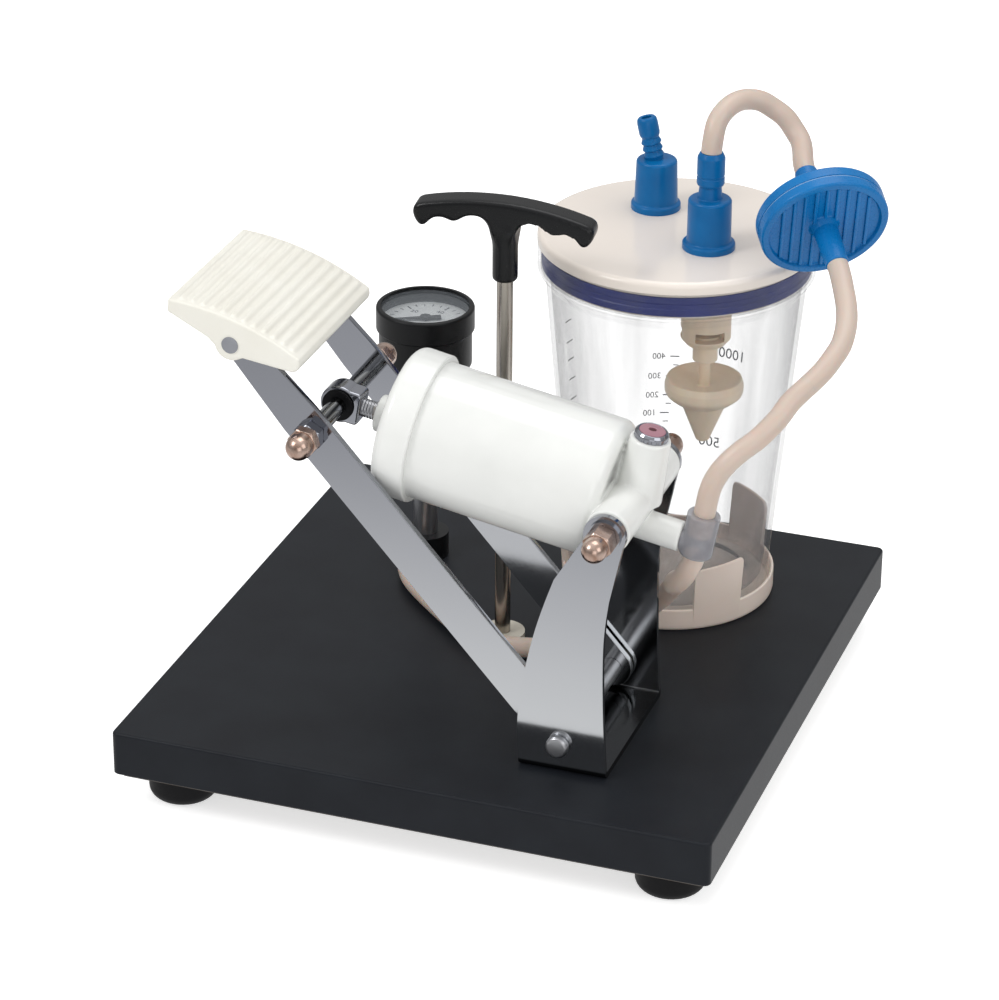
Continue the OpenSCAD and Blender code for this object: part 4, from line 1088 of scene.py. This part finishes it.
def add_lid():
    bm = bmesh.new()
    add_lathe(bm, rounded([
        (0, LID_UNDER, 0), (64.8, LID_UNDER, 0), (64.8, 232.4, 0.4), (70.3, 232.4, 0.4),
        (70.3, 233.28, 0), (68.4, 233.28, 0), (68.4, 243.96, 0), (70.3, 243.96, 0), (70.3, LID_UNDER, 0),
        (73.38, LID_UNDER, 0.5), (73.38, LID_TOP, 3), (0, LID_TOP, 0)], 6), JAR, 160)
    add_bar(bm, 9, LID_UNDER - 14.4, LID_UNDER + 0.5, 0.4, moved(*NOZZLE_IN))
    piece("lid_moulding", bm, "lid_group", "lid_cream", "lid")
    ring = rounded([
        (68.5, 233.3, 0), (71.04, 233.3, 0.5), (71.04, 236.8, 0.3), (70.6, 237.4, 0.3), (70.6, 239.8, 0.3),
        (71.04, 240.4, 0.3), (71.04, 243.9, 0.5), (68.5, 243.9, 0)], 3)
    turned_piece("lid_gasket_ring", ring, JAR, 160, "lid_group", "gasket_blue", "lid_gasket")


def add_nozzles():
    bm = bmesh.new()
    place = moved(*NOZZLE_OUT)
    add_lathe(bm, rounded([
        (0, LID_TOP - 0.3, 0), (13.8, LID_TOP - 0.3, 0.3), (13.8, LID_TOP + 3.4, 1.3),
        (11.5, LID_TOP + 3.9, 1.2), (11.3, 279.96, 1.8), (6.3, 280.2, 0.8),
        (5.64, 287.6, 0.3), (0, 287.6, 0)], 5), place)
    piece("vacuum_nozzle_body", bm, "lid_group", "fitting_blue", "vacuum_nozzle")
    bm = bmesh.new()
    add_lathe(bm, rounded([
        (0, 287.52, 0), (6.7, 287.52, 0.5), (7.2, 288.6, 0.3), (7.2, 291.6, 0.2), (6.8, 292, 0.1),
        (6.8, 292.8, 0.1), (7.2, 293.2, 0.2), (7.2, CONNECTOR_TOP - 2.6, 2.4), (5.9, CONNECTOR_TOP, 0.6),
        (0, CONNECTOR_TOP, 0)], 5), place)
    piece("vacuum_connector_body", bm, "lid_group", "fitting_blue", "vacuum_connector")
    bm = bmesh.new()
    place = moved(*NOZZLE_IN)
    add_lathe(bm, rounded([
        (0, LID_TOP - 0.3, 0), (13.2, LID_TOP - 0.3, 0.3), (13.2, LID_TOP + 3.4, 1.3),
        (11.5, LID_TOP + 3.9, 1.2), (10.8, 280.2, 1.8), (5.5, 280.6, 0.6), (0, 280.6, 0)], 5), place)
    barb = place @ moved(0, 0, 274.8) @ turned(-13, "Y")
    profile = [(0, 0), (4.5, 0), (4.5, 6)]
    for up in (7, 10.6, 14.2):
        profile += [(5.3, up + 0.2), (5.4, up + 0.8), (4.7, up + 2.4), (4.5, up + 3.2)]
    profile += [(5.2, 18.6), (5.5, 20), (5.5, 25.6), (5.2, 27.6), (4.4, 28.6), (3.6, 28.8), (2.76, 28.4),
                (2.76, 20), (0, 20)]
    add_lathe(bm, profile, barb, 64)
    piece("patient_nozzle_body", bm, "lid_group", "fitting_blue", "patient_nozzle")


def add_float():
    """Beige cage under the lid, and the valve that floats up in it."""
    cage_low, disc_top, neck = 198.6, 178.8, 188.4
    place = moved(*NOZZLE_OUT)
    bm = bmesh.new()
    add_lathe(bm, rounded([
        (7.2, cage_low, 0.3), (10.2, cage_low, 0.8), (13.2, cage_low + 3.6, 1.6), (13.2, LID_UNDER, 0),
        (8.88, LID_UNDER, 0), (8.88, cage_low + 3, 0.2), (7.2, cage_low + 3, 0.2)]), place)
    windows = bmesh.new()
    for azimuth in (-62, 58, 178):
        opening = rounded([(-2.7, -7.8, 0.8), (2.7, -7.8, 0.8), (2.7, 7.8, 0.8), (-2.7, 7.8, 0.8)])
        add_slab(windows, opening, 6, 15.6, 0.1, place @ turned(azimuth, "Z")
                 @ moved(0, 0, cage_low + 7.2) @ turned(90, "Y"), 1)
    piece("float_cage_shell", carve(bm, windows, "DIFFERENCE"), "lid_group", slot_of["float_cage"],
          "float_cage", look=float_beige, sharp=35)
    seat = cage_low + 3.12
    stem_top = LID_UNDER - 14.64
    bm = bmesh.new()
    add_lathe(bm, rounded([
        (0, 142.6, 0), (3.4, 142.6, 1.2), (12.4, disc_top - 13.6, 1), (15.4, disc_top - 13, 2),
        (20.8, disc_top - 8.6, 5), (20.8, disc_top - 3.4, 2.4), (19.7, disc_top, 0.7),
        (18.4, disc_top, 0.5), (12.6, disc_top - 2.4, 1.2), (3, disc_top - 4.8, 1), (3, neck, 0.3),
        (6.6, neck + 0.6, 1), (6.6, seat, 0.1), (8.28, seat, 0.3), (8.28, seat + 2.4, 0.3),
        (3, seat + 2.88, 0.3), (3, stem_top - 1.68, 0.2), (5.04, stem_top - 1.68, 0.3),
        (5.04, stem_top, 0.3), (0, stem_top, 0)], 5), place)
    piece("float_valve_body", bm, "float_group", slot_of["float_valve"], "float_valve",
          look=float_beige, sharp=35)


def add_jar_holder():
    """Cup round the jar's foot: a low wall that rises into three leaning tabs."""
    base, outer, wall = 44.4, 57.4, 1.68
    low_wall, tab_high, tab_low = 12.6, 39.4, 36.6
    tab_half, lean = 14, 2.2

    def wall_top(azimuth):
        for tab in (-45, 56, 186):
            turn = (azimuth - tab + 180) % 360 - 180
            if abs(turn) <= tab_half:
                part = (turn + tab_half) / (2 * tab_half)
                rise = tab_low + (tab_high - tab_low) * part
                for gap, drop in ((tab_half - turn, 2.5), (tab_half + turn, 4.5)):
                    if gap < drop:
                        rise -= drop * (1 - math.sqrt(1 - (1 - gap / drop) ** 2))
                return rise
        return low_wall

    azimuths = []
    for tab, gap in ((-45, 73), (56, 102), (186, 101)):
        azimuths += [tab - tab_half - 0.15] + [tab - tab_half + step for step in (0, 0.2, 0.6)]
        azimuths += [tab - tab_half + index for index in range(1, 2 * tab_half)]
        azimuths += [tab + tab_half - step for step in (0.6, 0.2, 0)] + [tab + tab_half + 0.15]
        azimuths += [tab + tab_half + gap * index / 30 for index in range(1, 30)]
    loops = []
    for azimuth in azimuths:
        top = wall_top(azimuth)

        def out(z):
            return outer + lean * max(0, z - 4.8) / 31.2 if top > low_wall else outer
        half = wall / 2
        section = [(outer - 3, 0), (outer - 1.2, 0.3), (outer - 0.3, 1.2), (outer, 2.4)]
        section += [(out(z), z) for z in (4.8, top * 0.5, top - half)]
        section += arc((out(top) - half, top - half), half, 30, 150, 4)
        section += [(out(z) - wall, z) for z in (top - half, top * 0.5, 4.8)]
        section += [(outer - wall, 3), (outer - 3, 3)]
        direction = Vector((math.cos(math.radians(azimuth)), math.sin(math.radians(azimuth)), 0))
        loops.append([direction * reach + Vector((0, 0, base + z)) for reach, z in section])
    bm = bmesh.new()
    loft(bm, loops, JAR, ring=True)
    add_bar(bm, outer - 2.5, base, base + 3, 0.3, JAR, 96)
    piece("jar_holder_cup", bm, "base", "holder_cream", "jar_holder", sharp=35)


# Gauge dial print
def add_dial_marks():
    centre = middle("gauge_dial")
    top = box_mm("gauge_dial")[1].z
    place = moved(centre.x, centre.y, top + 0.08)
    bm = bmesh.new()
    steps = 20
    for index in range(steps + 1):
        angle = math.radians(206 - 270 * index / steps)
        long_mark = index % 5 == 0
        inner, outer = (16.2 if long_mark else 18), 20.4
        half = 0.42 if long_mark else 0.24
        ray = Vector((math.cos(angle), math.sin(angle), 0))
        across = Vector((-ray.y, ray.x, 0))
        corners = [ray * inner - across * half, ray * outer - across * half,
                   ray * outer + across * half, ray * inner + across * half]
        loft(bm, [[corner + Vector((0, 0, z)) for corner in corners] for z in (-0.05, 0.05)], place)
        if long_mark:
            spot = ray * 12.6
            add_words(bm, str(index // 5 * 20), 4.4, lambda p, s=spot: place @ (p + s))
    add_words(bm, "kPa", 3.6, lambda p: place @ (p + Vector((-3, -8.6, 0))))
    piece("gauge_dial_print", bm, "base", "needle_black", look=print_black, even=False)


for build in (add_base_pan, add_bracket, add_lever_axle, add_dome_nuts, add_lever_bars, add_pump_barrel,
              add_pump_cap, add_pump_head, add_exhaust_cap, add_tee, add_rod, add_return_spring,
              add_rod_end, add_grip, add_pedal, add_jar, add_graduations, add_lid, add_nozzles,
              add_float, add_jar_holder, add_dial_marks):
    build()


# Stage and light
FLOOR_GLOW = 0.62
WORLD_LEVEL = 0.62


def add_stage():
    """White floor. Polished metal sees it as a pool of light that fades away from the object."""
    reach = 6000
    bm = bmesh.new()
    corners = [(-reach, -reach, 0), (reach, -reach, 0), (reach, reach, 0), (-reach, reach, 0)]
    bm.faces.new([bm.verts.new(Vector(corner) * MM) for corner in corners])
    mesh = bpy.data.meshes.new("floor")
    bm.to_mesh(mesh)
    bm.free()
    floor = bpy.data.objects.new("floor", mesh)
    bpy.context.scene.collection.objects.link(floor)
    material = bpy.data.materials.new("floor")
    material.use_nodes = True
    tree = material.node_tree
    shader = tree.nodes["Principled BSDF"]
    shader.inputs["Roughness"].default_value = 0.9
    shader.inputs["Specular IOR Level"].default_value = 0
    shader.inputs["Emission Color"].default_value = (1, 1, 1, 1)
    far = step(tree, "VectorMath", "Value", {0: step(tree, "TexCoord", "Object")}, "LENGTH")
    glossy = rays(tree, "Is Glossy Ray")
    pool = combined(tree, "MULTIPLY", glossy, mapped(tree, far, 0.3, 0.9, 1, 0.62))
    seen = combined(tree, "MULTIPLY", rays(tree, "Is Camera Ray", "Is Transmission Ray"), FLOOR_GLOW)
    tree.links.new(combined(tree, "ADD", seen, pool), shader.inputs["Emission Strength"])
    tone = mapped(tree, glossy, 0, 1, 0.82, 0)
    tree.links.new(tone, shader.inputs["Base Color"])
    mesh.materials.append(material)


def add_world():
    """White to the camera and through glass; polished metal sees a softer studio, brightest overhead."""
    world = bpy.data.worlds.new("studio")
    world.use_nodes = True
    bpy.context.scene.world = world
    tree = world.node_tree
    shader = tree.nodes["Background"]
    shader.inputs["Color"].default_value = (1, 1, 1, 1)
    up = step(tree, "SeparateXYZ", "Z", {"Vector": step(tree, "TexCoord", "Generated")})
    overhead = mapped(tree, up, 0.1, 0.9, 0.3, 0.95)
    seen = mapped(tree, rays(tree, "Is Camera Ray", "Is Transmission Ray"), 0, 1, WORLD_LEVEL, 1)
    glossy = rays(tree, "Is Glossy Ray")
    plain = combined(tree, "MULTIPLY", seen, mapped(tree, glossy, 0, 1, 1, 0))
    mirrored = combined(tree, "MULTIPLY", glossy, overhead)
    tree.links.new(combined(tree, "ADD", plain, mirrored), shader.inputs["Strength"])


def add_lamp(name, place, size, watts):
    """Soft square lamp that faces the middle of the object."""
    data = bpy.data.lights.new(name, "AREA")
    data.shape = "SQUARE"
    data.size = size * MM
    data.energy = watts
    lamp = bpy.data.objects.new(name, data)
    lamp.location = Vector(place) * MM
    aim = Vector((0, 0, 0.12)) - lamp.location
    lamp.rotation_euler = aim.to_track_quat("-Z", "Y").to_euler()
    bpy.context.scene.collection.objects.link(lamp)


add_stage()
add_world()
add_lamp("key", (-1400, -1300, 1900), 900, 19)
add_lamp("fill", (1700, -700, 1100), 1100, 6)
add_lamp("top", (200, 500, 2300), 1400, 13)
add_lamp("front", (900, -1900, 450), 1100, 5.5)
bpy.context.scene.view_settings.view_transform = "Standard"
